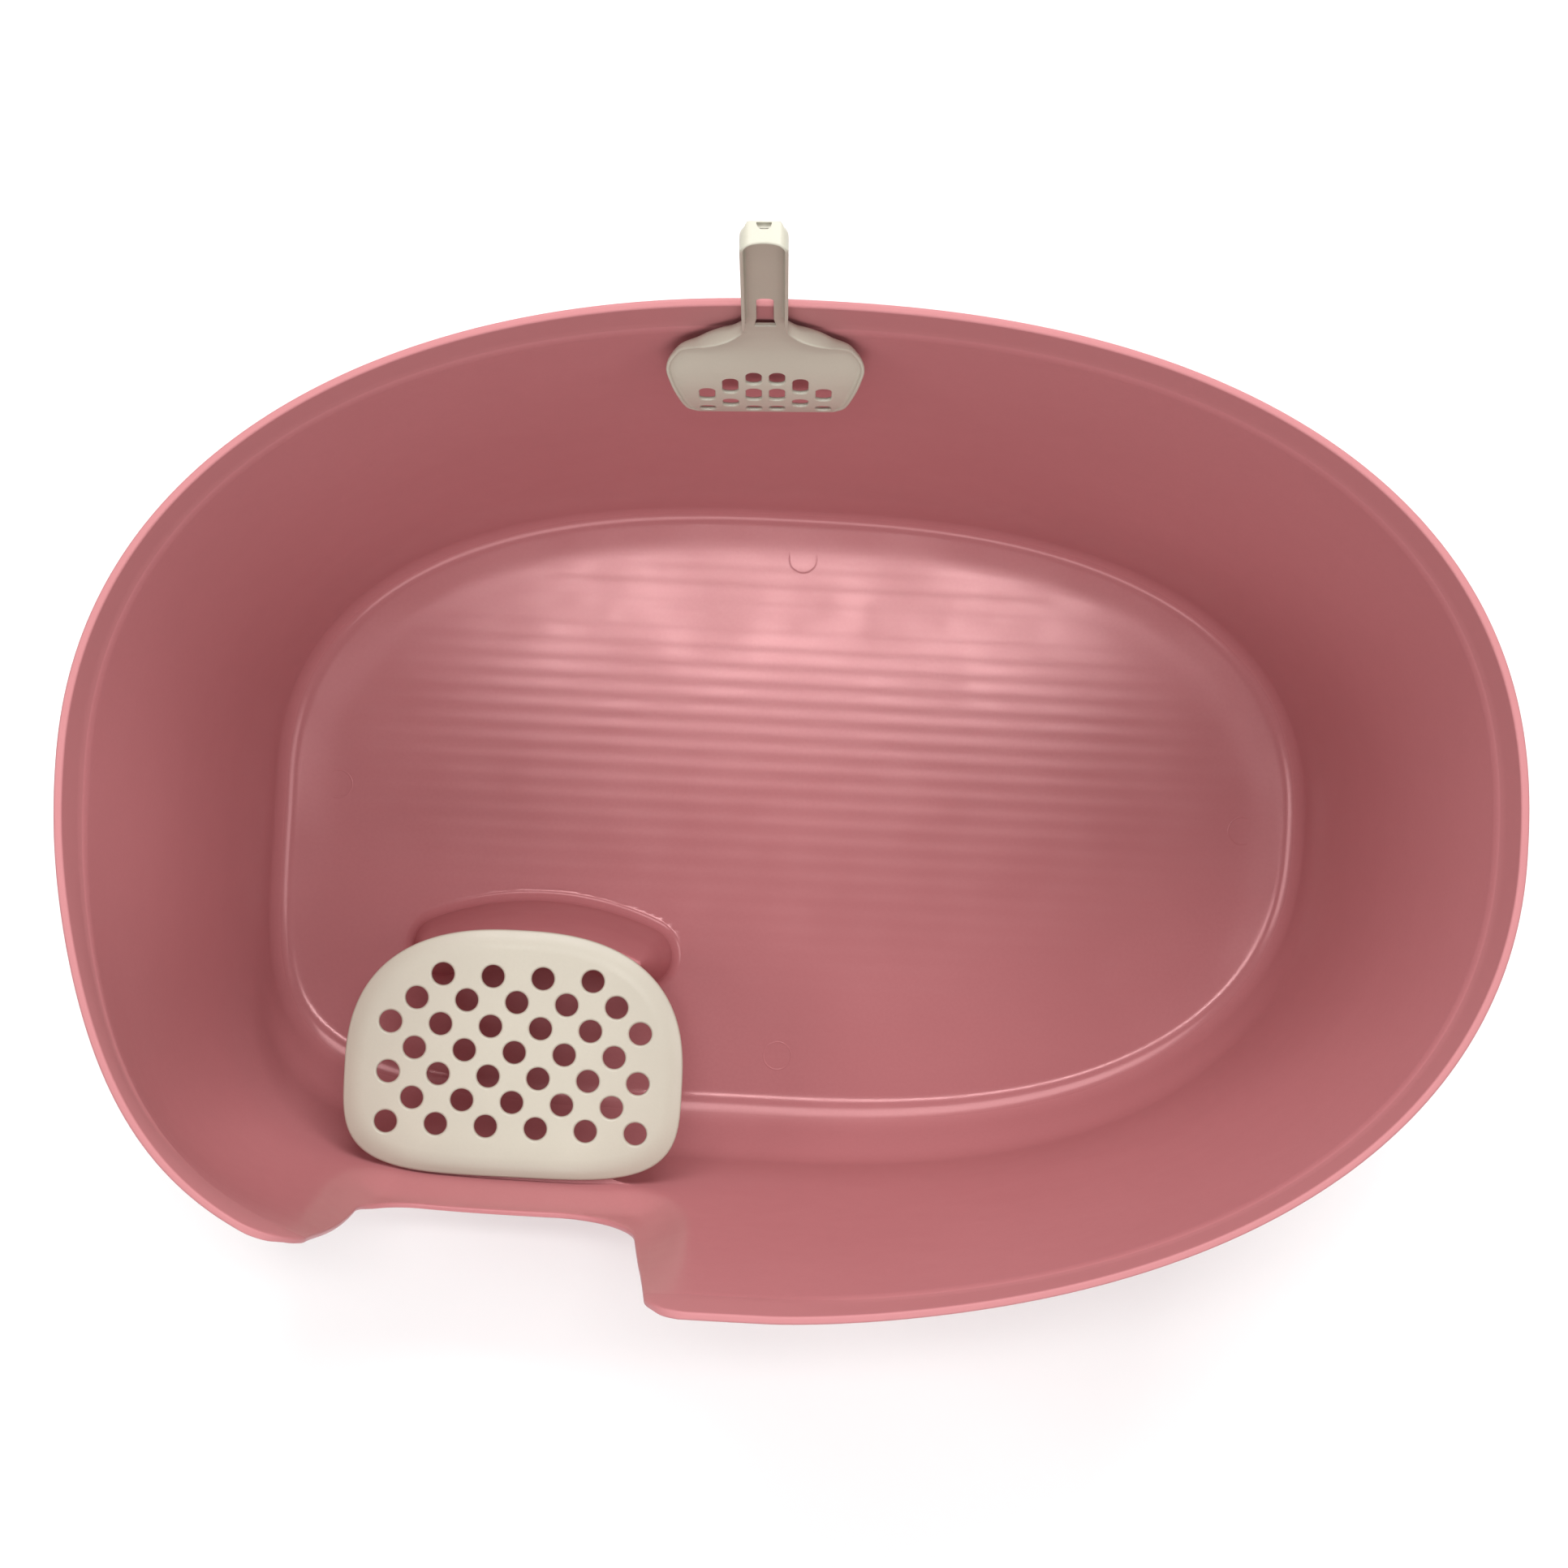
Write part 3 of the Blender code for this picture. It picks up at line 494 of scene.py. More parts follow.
@dataclass(frozen=True)
class TubShape:
    """Sizes of the tub, and the curves that its sections follow."""

    rim_length: float = 0.600
    rim_depth: float = 0.417
    rim_height: float = 0.290
    wall: float = 0.0026
    floor_thickness: float = 0.0030
    foot_stand: float = 0.0020
    rim_lip: float = 0.0038
    rim_round: float = 0.0011
    rim_inside: float = 0.0002
    band_height: float = 0.0240
    band_step: float = 0.0007
    band_ease: float = 0.0016
    bead_reach: float = 0.0090
    floor_length: float = 0.4994
    floor_depth: float = 0.2930
    fillet_rear: Pair = (0.0090, 0.0090)
    fillet_end: Pair = (0.0140, 0.0095)
    fillet_front: Pair = (0.0260, 0.0070)
    fillet_share: float = 0.75
    fillet_front_ease: Pair = (0.0, 0.8)
    margin_front_ease: Pair = (0.20, 0.75)
    margin_slope: float = 0.0650
    margin_lift: float = 0.0007
    dish_reach: Pair = (0.0030, 0.0250)
    shoulder_height: float = 0.0250
    shoulder_end: float = 0.0043
    shoulder_rear: float = 0.0052
    shoulder_front: float = 0.0236
    shoulder_soft: float = 0.0070
    floor_power: float = 2.42
    entry_floor_power: float = 5.0
    entry_sill_power: float = 6.0
    rim_power_rear_right: float = 2.33
    rim_power_rear_left: float = 2.20
    rim_power_left: float = 2.28
    rim_power_entry: float = 3.22
    entry_turn: Pair = (0.0, 0.5)
    rim_power_front: float = 1.76
    rim_power_front_right: float = 2.12
    entry_x: float = -0.1220
    sill_height: float = 0.1195
    entry_reach: Pair = (0.0620, 0.0595)
    entry_flare: Pair = (0.0080, 0.0138)
    entry_rim_round: Pair = (0.0270, 0.0195)
    entry_sill_round: Pair = (0.0280, 0.0370)
    sill_tilt: Pair = (0.0010, -0.0020)
    ledge_tuck: float = 0.0045
    ledge_reach: float = 0.0475
    ledge_out: float = 0.0008
    ledge_height: float = 0.0920
    bay_out: float = 0.0080
    bay_reach: Pair = (0.0690, 0.0770)
    bay_corner_width: Pair = (0.0220, 0.0370)
    bay_corner_height: float = 0.0600
    bay_ease: float = 0.0110
    bay_fade: float = 0.0260
    gap: float = 0.0003

    @property
    def floor_top(self) -> float:
        """Height of the floor's upper face."""
        return self.foot_stand + self.floor_thickness

    @property
    def margin_drop(self) -> float:
        """How far the floor's middle lies below the edge of its sloping margin."""
        return self.margin_slope * sum(self.dish_reach) / 2

    @property
    def floor_edge(self) -> float:
        """Height of the floor's edge where its margin slopes."""
        return self.floor_top + self.margin_lift

    @property
    def floor_middle(self) -> float:
        """Height of the floor inside its sloping margin."""
        return self.floor_edge - self.margin_drop

    def margin_share(self, angle: float) -> float:
        """How much of the margin's slope there is in this direction: none in front."""
        return 1 - ease(*self.margin_front_ease, -math.sin(angle))

    def edge_height(self, angle: float) -> float:
        """Height of the floor's edge in this direction."""
        return mix(self.floor_middle, self.floor_edge, self.margin_share(angle))

    def inside_edge(self, angle: float, reach: float) -> float:
        """How far inside the floor's edge a point at this distance from the axis lies."""
        return max(self.radius(angle, self.floor_top) - self.fillet(angle)[1] - reach, 0.0)

    def floor_height(self, angle: float, inside: float) -> float:
        """Height of the floor, ribs apart, this far inside its edge: a dish that ends level."""
        low, high = self.dish_reach
        share = clamped((inside - low) / (high - low))
        bend = share - share**3 + share**4 / 2
        dish = self.margin_slope * (min(inside, low) + (high - low) * bend)
        return self.floor_middle + self.margin_share(angle) * (self.margin_drop - dish)

    @property
    def shoulder_top(self) -> float:
        """Height at which the low shoulder ends."""
        return self.floor_top + self.shoulder_height

    @property
    def band_foot(self) -> float:
        """Height at which the grained band starts."""
        return self.rim_height - self.band_height

    def power(self, angle: float, level: float) -> float:
        """How square the outline is in this direction at this height."""
        quarter = int(angle // (math.pi / 2))
        turn = angle / (math.pi / 2) - quarter
        up = clamped((level - self.floor_top) / (self.rim_height - self.floor_top))
        if quarter == 0:
            return mix(self.floor_power, self.rim_power_rear_right, up)
        if quarter == 1:
            return mix(self.floor_power, self.rim_power_rear_left, up)
        if quarter == 2:
            rim_power = mix(self.rim_power_left, self.rim_power_entry, ease(*self.entry_turn, turn))
            low = ease(self.floor_top, self.sill_height, level)
            low_power = mix(self.entry_floor_power, self.entry_sill_power, low)
            return mix(low_power, rim_power, ease(self.sill_height, self.rim_height, level))
        front = mix(self.rim_power_front_right, self.rim_power_front, (1 - turn) ** 2)
        return mix(self.floor_power, front, up)

    def radius(self, angle: float, level: float) -> float:
        """Distance from the tub's axis to its inner wall."""
        low = clamped((level - self.floor_top) / self.shoulder_height)
        high = clamped((level - self.shoulder_top) / (self.rim_height - self.shoulder_top))
        side = self.shoulder_rear if math.sin(angle) >= 0 else self.shoulder_front
        end = self.rim_length / 2 - self.rim_lip
        half_x = mix(self.floor_length / 2 + self.shoulder_end * low, end, high)
        half_y = mix(self.floor_depth / 2 + side * low, self.rim_depth / 2 - self.rim_lip, high)
        return superellipse(angle, half_x, half_y, self.power(angle, level))

    def bead(self, z: float) -> float:
        """Thickness of the wall beside the entry: only a narrow bead under the rim stays thick."""
        top, reach = self.rim_height, self.bead_reach
        return mix(self.wall, self.rim_lip - self.rim_inside, ease(top - reach, top - reach / 3, z))

    def fillet(self, angle: float) -> Pair:
        """Radius of the bend round the floor in this direction, and how far inside the wall it starts."""
        front = ease(*self.fillet_front_ease, -math.sin(angle))
        end = math.cos(angle) ** 2
        sizes = zip(self.fillet_rear, self.fillet_end, self.fillet_front)
        return tuple(mix(mix(at_rear, at_end, end), in_front, front) for at_rear, at_end, in_front in sizes)

    def plateau(self, x: float, left: float, right: float) -> float:
        """1 between left and right, 0 outside them, with a smooth step at each end."""
        rise = ease(left - self.bay_ease, left + self.bay_ease, x)
        return rise - ease(right - self.bay_ease, right + self.bay_ease, x)

    def swell(self, x: float, level: float) -> float:
        """How far the front wall swells out round the entry at this height."""
        if level <= self.ledge_height - self.gap:
            across = self.plateau(x, self.entry_x - self.ledge_reach, self.entry_x + self.ledge_reach)
            return -self.ledge_tuck * across * ease(self.shoulder_top, self.ledge_height, level)
        down = 1 - clamped((level - self.ledge_height) / self.bay_corner_height)
        corner = 1 - math.sqrt(1 - down**2)
        left = self.entry_x - self.bay_reach[0] + self.bay_corner_width[0] * corner
        right = self.entry_x + self.bay_reach[1] - self.bay_corner_width[1] * corner
        across = self.plateau(x, left, right)
        rise = ease(self.ledge_height, self.sill_height, level)
        fade = 1 - ease(self.sill_height + self.bay_fade, self.rim_height, level)
        return across * fade * mix(self.ledge_out, self.bay_out, rise)

    def point(self, angle: float, radius: float, z: float, level: float) -> Vector:
        """A point in the row frame, at this distance from the tub's axis, swelled as its level asks."""
        x = radius * math.cos(angle)
        swell = self.swell(x, level) if math.sin(angle) < 0 else 0.0
        return Vector((x, radius * math.sin(angle) - swell, z)) + SHIFT

    def front_angle(self, x: float, level: float) -> float:
        """Direction in which the inner wall of the front left quarter lies at this x."""
        low, high = math.pi, math.pi * 1.5
        for _ in range(HALVINGS):
            middle = (low + high) / 2
            if self.radius(middle, level) * math.cos(middle) < x:
                low = middle
            else:
                high = middle
        return (low + high) / 2


SHAPE = TubShape()
REAR_LEAN = math.atan2(
    (SHAPE.rim_depth - SHAPE.floor_depth) / 2 - SHAPE.rim_lip - SHAPE.shoulder_rear,
    SHAPE.rim_height - SHAPE.shoulder_top,
)
HANDLE_ABOVE_RIM = 0.0980
SCOOP_STANDOFF = 0.0006
SHIFT = Vector(
    (0.0, (SHAPE.rim_lip + SCOOP_STANDOFF - HANDLE_ABOVE_RIM * math.sin(REAR_LEAN)) / 2, 0.0)
)


@dataclass
class Tub:
    """The one-piece tub: ribbed floor, leaning walls, rim, entry and the saddle under the step."""

    finish: bpy.types.Material
    stations: int = 420
    entry_density: float = 1.9
    rib_pitch: float = 0.0088
    rib_depth: float = 0.00003
    rib_fade: Pair = (0.012, 0.024)
    rows_per_rib: int = 6
    floor_columns: int = 120
    fine_steps: int = 7200
    dense_span: Pair = (-0.23, -0.02)
    plain_left: Pair = (-0.27, -0.23)
    plain_right: Pair = (0.0, 0.05)
    fillet_steps: int = 14
    bend_steps: int = 6
    thin_rows: int = 10
    level_steps: tuple[int, int, int] = (7, 10, 26)
    band_shares: Triple = (0.3, 0.6, 0.85)
    lip_shares: tuple[float, ...] = (0.12, 0.2, 0.28, 0.38, 0.7, 1.0)
    edge_round: float = 0.0011
    skim: float = 0.00005
    cutter_inside: float = 0.0030
    cutter_outside: float = 0.0300
    cutter_start: float = math.radians(28)
    cutter_steps: int = 5
    corner_steps: int = 18
    outline_spacing: float = 0.0025
    probe: float = 0.002
    mark_diameter: float = 0.0136
    mark_bead: float = 0.0004
    mark_flat: float = 0.22
    foot_insets: Pair = (0.0277, 0.0245)
    socket_diameter: float = 0.0146
    socket_depth: float = 0.0010
    socket_steps: int = 48

    def build(self) -> Piece:
        """Builds and dresses the tub."""
        tub = grown("tub_body", self.rings())
        self.shape_floor(tub)
        saddle = Saddle()
        carve(tub, saddle.solid(), Cut.ADD)
        carve(tub, saddle.hollow(), Cut.REMOVE)
        carve(tub, self.entry_tool(), Cut.REMOVE)
        carve(tub, self.socket_tool(), Cut.REMOVE)
        shade(tub)
        tub = joined([tub, *self.marks()], "tub_body")
        tub.data.materials.clear()
        tub.data.materials.append(self.finish)
        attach(tub, "tub")
        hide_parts("tub")
        return tub

    def station_angles(self) -> list[float]:
        """Directions round the tub's axis at even steps along its outline, closer together at the entry."""
        turns = [math.tau * step / self.fine_steps for step in range(self.fine_steps + 1)]
        left, right = self.dense_span
        reach = [0.0]
        for before, after in zip(turns, turns[1:]):
            here = SHAPE.radius(before % math.tau, SHAPE.shoulder_top)
            there = SHAPE.radius(after % math.tau, SHAPE.shoulder_top)
            run = math.hypot(here * (after - before), there - here)
            x = here * math.cos(before)
            at_entry = math.sin(before) < 0 and left < x < right
            reach.append(reach[-1] + run * (self.entry_density if at_entry else 1.0))
        angles: list[float] = []
        index = 0
        for station in range(self.stations):
            wanted = reach[-1] * station / self.stations
            while reach[index + 1] < wanted:
                index += 1
            share = (wanted - reach[index]) / (reach[index + 1] - reach[index])
            angles.append(mix(turns[index], turns[index + 1], share))
        return angles

    def low_profile(self, angle: float) -> Profile:
        """The inner section in this direction, from the floor's fillet to the soft bend into the wall."""
        fillet, inset = SHAPE.fillet(angle)
        start = SHAPE.radius(angle, SHAPE.floor_top) - inset
        top = Vector((SHAPE.radius(angle, SHAPE.shoulder_top), SHAPE.shoulder_top))
        reach = Vector((top.x - start, SHAPE.shoulder_height))
        fillet = min(fillet, SHAPE.fillet_share * reach.length_squared / (2 * reach.y))
        turn_start = SHAPE.margin_slope * SHAPE.margin_share(angle)
        foot = SHAPE.edge_height(angle)
        centre = Vector((start - fillet * math.sin(turn_start), foot + fillet * math.cos(turn_start)))
        away = top - centre
        turn_end = math.pi / 2 + math.atan2(away.y, away.x) - math.acos(fillet / away.length)
        points: Profile = [
            (centre.x + fillet * math.sin(turn), centre.y - fillet * math.cos(turn))
            for turn in evenly(turn_start, turn_end, self.fillet_steps)
        ]
        leave = Vector(points[-1])
        slope = (top - leave).normalized()
        before = top - slope * SHAPE.shoulder_soft
        above = SHAPE.shoulder_top + SHAPE.shoulder_soft
        after = Vector((SHAPE.radius(angle, above), above))
        points.append(tuple((leave + before) / 2))
        for share in evenly(0.0, 1.0, self.bend_steps):
            bend = before * (1 - share) ** 2 + top * 2 * share * (1 - share) + after * share**2
            points.append(tuple(bend))
        return points

    def wall_levels(self) -> list[float]:
        """Heights of the rings up the wall, from above the shoulder to the foot of the band."""
        low = SHAPE.shoulder_top + SHAPE.shoulder_soft
        ledge, sill, top = SHAPE.ledge_height, SHAPE.sill_height, SHAPE.band_foot - SHAPE.band_ease
        below, swelling, above = self.level_steps
        return [
            *evenly(low, ledge - SHAPE.gap, below)[1:],
            *evenly(ledge, sill, swelling),
            *evenly(sill, top, above)[1:],
        ]

    def rings(self) -> list[Ring]:
        """Rings of the section: up the inside from the floor, over the rim and down the outside."""
        angles = self.station_angles()
        low = [self.low_profile(angle) for angle in angles]

        def level_ring(z: float, level: float, offset: float) -> Ring:
            """A ring at this height, this far outside the inner wall of that level."""
            return [
                SHAPE.point(angle, SHAPE.radius(angle, level) + self.near_entry(angle, offset, z), z, level)
                for angle in angles
            ]

        inner: list[Ring] = []
        outer: list[Ring] = []
        for row in range(len(low[0])):
            ring_in: Ring = []
            ring_out: Ring = []
            for angle, profile in zip(angles, low):
                radius, z = profile[row]
                before = Vector(profile[max(row - 1, 0)])
                after = Vector(profile[min(row + 1, len(profile) - 1)])
                run = (after - before).normalized() if row else Vector((1.0, 0.0))
                share = min(row / self.thin_rows, 1.0)
                thick = mix(SHAPE.floor_thickness, SHAPE.wall, share)
                lift = (SHAPE.edge_height(angle) - SHAPE.floor_top) * (1 - share)
                drop = max(thick * run.x + lift, SHAPE.wall / 2)
                ring_in.append(SHAPE.point(angle, radius, z if row else SHAPE.floor_edge, z))
                ring_out.append(SHAPE.point(angle, radius + thick * run.y, z - drop, z))
            inner.append(ring_in)
            outer.append(ring_out)
        for z in self.wall_levels():
            inner.append(level_ring(z, z, 0.0))
            outer.append(level_ring(z - SHAPE.wall / 2, z, SHAPE.wall))
        rim = [level_ring(z, level, offset) for offset, z, level in self.rim_profile()]
        return inner + rim + outer[::-1]

    def near_entry(self, angle: float, offset: float, z: float) -> float:
        """Fades the band out beside the entry, where the wall runs plain up to the rim."""
        if math.sin(angle) >= 0 or z > SHAPE.rim_height - 2 * SHAPE.rim_round:
            return offset
        x = SHAPE.radius(angle, z) * math.cos(angle)
        near = ease(*self.plain_left, x) * (1 - ease(*self.plain_right, x))
        plain = SHAPE.bead(z) if offset > SHAPE.band_step else 0.0
        return mix(offset, min(offset, plain), near)

    def rim_profile(self) -> list[Triple]:
        """The rim's section from the band's foot over the top, as (offset, height, level of the outline)."""
        top, foot, step = SHAPE.rim_height, SHAPE.band_foot, SHAPE.band_step
        below = foot - SHAPE.band_ease
        radius = SHAPE.rim_round
        lip = SHAPE.rim_lip - SHAPE.rim_inside
        arc = quarter_arc(5)
        rows = [(step / 2, foot - SHAPE.band_ease / 2, foot), (step, foot, foot)]
        for share in self.band_shares:
            rows.append((step * (1 - share), mix(foot, top - radius, share), mix(foot, top, share)))
        rows += [(radius * by_cos, top - radius * by_sin, top) for by_cos, by_sin in arc]
        rows.append((lip / 2, top, top))
        rows += [(lip - radius * by_sin, top - radius * by_cos, top) for by_cos, by_sin in arc]
        rows += [(lip, level, level) for level in (mix(top, foot, share) for share in self.lip_shares)]
        rows.append((mix(lip, SHAPE.wall, 0.5), below, below))
        return rows

    def shape_floor(self, tub: Piece) -> None:
        """Gives the floor its shallow ribs along X and its sloping margin."""
        height = SHAPE.floor_edge
        half_x = SHAPE.floor_length / 2
        half_y = SHAPE.floor_depth / 2
        rows = evenly(-half_y, half_y, int(2 * half_y / (self.rib_pitch / self.rows_per_rib)))
        columns = evenly(-half_x, half_x, self.floor_columns)
        planes = [(Vector((0.0, y, 0.0)) + SHIFT, Vector((0.0, 1.0, 0.0))) for y in rows[1:-1]]
        planes += [(Vector((x, 0.0, 0.0)), Vector((1.0, 0.0, 0.0))) for x in columns[1:-1]]

        def is_floor(face: bmesh.types.BMFace) -> bool:
            """Says whether a face is the cap that closes the floor's upper side."""
            return len(face.verts) == self.stations and face.calc_center_median().z > height - SHAPE.wall / 2

        cut_across(tub, is_floor, planes)

        def place(point: Vector) -> Vector:
            """Where a point of the floor goes."""
            if abs(point.z - height) > 1e-6:
                return point
            local = point - SHIFT
            angle = math.atan2(local.y, local.x) % math.tau
            inside = SHAPE.inside_edge(angle, math.hypot(local.x, local.y))
            rib = self.rib_depth * 0.5 * math.cos(math.tau * local.y / self.rib_pitch)
            z = SHAPE.floor_height(angle, inside) + rib * ease(*self.rib_fade, inside)
            return Vector((point.x, point.y, z))

        move_points(tub, place)

    def entry_tool(self) -> Piece:
        """The tool that cuts the entry, narrower inside the wall, so that the cut edge comes out rounded."""
        left = SHAPE.entry_x - SHAPE.entry_reach[0]
        right = SHAPE.entry_x + SHAPE.entry_reach[1]
        top_left = left - SHAPE.entry_flare[0]
        top_right = right + SHAPE.entry_flare[1]
        top = SHAPE.rim_height + self.skim
        sill_left, sill_right = (SHAPE.sill_height + tilt for tilt in SHAPE.sill_tilt)
        above = SHAPE.rim_height + self.cutter_outside
        far_left = top_left - SHAPE.entry_rim_round[0] - self.edge_round
        far_right = top_right + SHAPE.entry_rim_round[1] + self.edge_round
        corners = [
            (far_left, top, 0.0),
            (top_left, top, SHAPE.entry_rim_round[0]),
            (left, sill_left, SHAPE.entry_sill_round[0]),
            (right, sill_right, SHAPE.entry_sill_round[1]),
            (top_right, top, SHAPE.entry_rim_round[1]),
            (far_right, top, 0.0),
            (far_right, above, 0.0),
            (far_left, above, 0.0),
        ]
        outline = resampled(rounded_corners(corners, self.corner_steps), self.outline_spacing)
        normals = outline_normals(outline)
        edge = rounded_edge(self.edge_round, self.cutter_start, self.cutter_steps)
        stations = []
        for (x, z), (out_x, out_z) in zip(outline, normals):
            level = min(z, SHAPE.rim_height)
            angle = SHAPE.front_angle(x, level)
            before, here, after = (
                SHAPE.point(turn, SHAPE.radius(turn, level), z, level)
                for turn in (angle - self.probe, angle, angle + self.probe)
            )
            along = (after - before).normalized()
            outward = Vector((along.y, -along.x, 0.0))
            inset = Vector((out_x * along.x, out_x * along.y, out_z))
            stations.append((here, outward, inset, SHAPE.bead(z)))
        wide = edge[0][0] + 1 / math.tan(self.cutter_start) * self.cutter_inside
        rows = [(-self.cutter_inside, wide, 0.0)]
        rows += [(depth, back, 0.0) for back, depth in edge]
        rows += [(-depth, back, 1.0) for back, depth in reversed(edge)]
        rows += [(self.cutter_inside, wide, 1.0), (self.cutter_outside, wide, 1.0)]
        rings = [
            [here + out * (depth + far * thick) + inset * back for here, out, inset, thick in stations]
            for depth, back, far in rows
        ]
        return grown("entry_tool", rings)

    def foot_places(self) -> dict[str, Vector]:
        """Place of each foot on the ground, by its node."""
        out_long = SHAPE.floor_length / 2 - self.foot_insets[0]
        out_short = SHAPE.floor_depth / 2 - self.foot_insets[1]
        places = {
            "foot_left": (-out_long, 0.0),
            "foot_right": (out_long, 0.0),
            "foot_front": (0.0, -out_short),
            "foot_rear": (0.0, out_short),
        }
        return {node: Vector((x, y, 0.0)) + SHIFT for node, (x, y) in places.items()}

    def socket_tool(self) -> Piece:
        """The four round sockets under the floor, as one tool."""
        levels = (-SHAPE.foot_stand, SHAPE.foot_stand + self.socket_depth)
        sockets = [
            grown("socket", [circle(place, self.socket_diameter / 2, z, self.socket_steps) for z in levels])
            for place in self.foot_places().values()
        ]
        return joined(sockets, "sockets")

    def marks(self) -> list[Piece]:
        """The faint round beads in the floor above the feet."""
        beads = []
        for place in self.foot_places().values():
            local = place - SHIFT
            angle = math.atan2(local.y, local.x) % math.tau
            height = SHAPE.floor_height(angle, SHAPE.inside_edge(angle, local.length))
            deselect_all()
            bpy.ops.mesh.primitive_torus_add(
                location=(place.x, place.y, height),
                major_radius=self.mark_diameter / 2,
                minor_radius=self.mark_bead,
                major_segments=96,
                minor_segments=10,
            )
            bead = bpy.context.object
            bead.scale = (1.0, 1.0, self.mark_flat)
            bpy.ops.object.transform_apply(location=True, rotation=True, scale=True)
            shade(bead)
            beads.append(bead)
        return beads


def circle(centre: Vector, radius: float, z: float, count: int) -> Ring:
    """A level ring of points round a centre."""
    turns = [math.tau * step / count for step in range(count)]
    return [Vector((centre.x + radius * math.cos(t), centre.y + radius * math.sin(t), z)) for t in turns]


@dataclass
class Saddle:
    """The hollow hump on the floor that carries the step's rear edge."""

    span: float = 0.0985
    rise: float = 0.0102
    place: Pair = (-0.1172, -0.0660)
    crest_half: float = 0.0023
    base_half: float = 0.0136
    fillet: float = 0.0065
    hollow_tip: float = 0.0008
    crest_round: float = 0.0016
    skirt_share: float = 0.86
    arc_steps: int = 40
    cap_steps: int = 24
    fillet_degrees: Pair = (10, 84)
    fillet_steps: int = 8

    def half(self, z: float) -> float:
        """Half the saddle's width at this height."""
        share = (z - SHAPE.floor_top) / (SHAPE.ledge_height - SHAPE.floor_top)
        return mix(self.base_half, self.crest_half, share)

    def ring(self, half: float, z: float) -> Ring:
        """One level of the saddle: all points at this distance from its curved crest line."""
        radius = (self.span**2 / 4 + self.rise**2) / (2 * self.rise)
        centre = Vector((self.place[0], self.place[1] - radius))
        swing = math.asin(self.span / 2 / radius)
        points: Ring = []
        for side, start in ((1, math.pi / 2 - swing), (-1, math.pi * 1.5 + swing)):
            for step in range(self.arc_steps + 1):
                angle = math.pi / 2 + side * swing * (1 - 2 * step / self.arc_steps)
                points.append(centre + (radius + side * half) * Vector((math.cos(angle), math.sin(angle))))
            end = centre + radius * Vector((side * math.sin(swing), math.cos(swing)))
            for step in range(1, self.cap_steps):
                angle = start - math.pi * step / self.cap_steps
                points.append(end + half * Vector((math.cos(angle), math.sin(angle))))
        return [Vector((point.x, point.y, z)) + SHIFT for point in points]

    def solid(self) -> Piece:
        """The hump itself, flared into the floor, with a rounded crest just under the step."""
        base = SHAPE.floor_middle
        top = SHAPE.ledge_height
        rings = [self.ring(self.half(base) + self.fillet * self.skirt_share, base - SHAPE.wall / 3)]
        for degrees in evenly(*self.fillet_degrees, self.fillet_steps):
            turn = math.radians(degrees)
            z = base - SHAPE.gap / 2 + self.fillet * (1 - math.cos(turn))
            rings.append(self.ring(self.half(base) + self.fillet * (1 - math.sin(turn)), z))
        for share in (0.25, 0.5, 0.75):
            z = mix(base + self.fillet, top - self.crest_round, share)
            rings.append(self.ring(self.half(z), z))
        crest = self.half(top - self.crest_round)
        for by_cos, by_sin in quarter_arc(5):
            rings.append(self.ring(crest - self.crest_round * by_cos, top - self.crest_round * by_sin))
        return grown("saddle", rings)

    def hollow(self) -> Piece:
        """The hollow under the hump, open below."""
        share = (self.base_half - SHAPE.wall - self.hollow_tip) / (self.base_half - self.crest_half)
        tip = mix(SHAPE.floor_top, SHAPE.ledge_height, share)
        rings = [self.ring(self.half(z) - SHAPE.wall, z) for z in (-SHAPE.foot_stand, SHAPE.floor_top, tip)]
        return grown("saddle_hollow", rings)


# Step plate


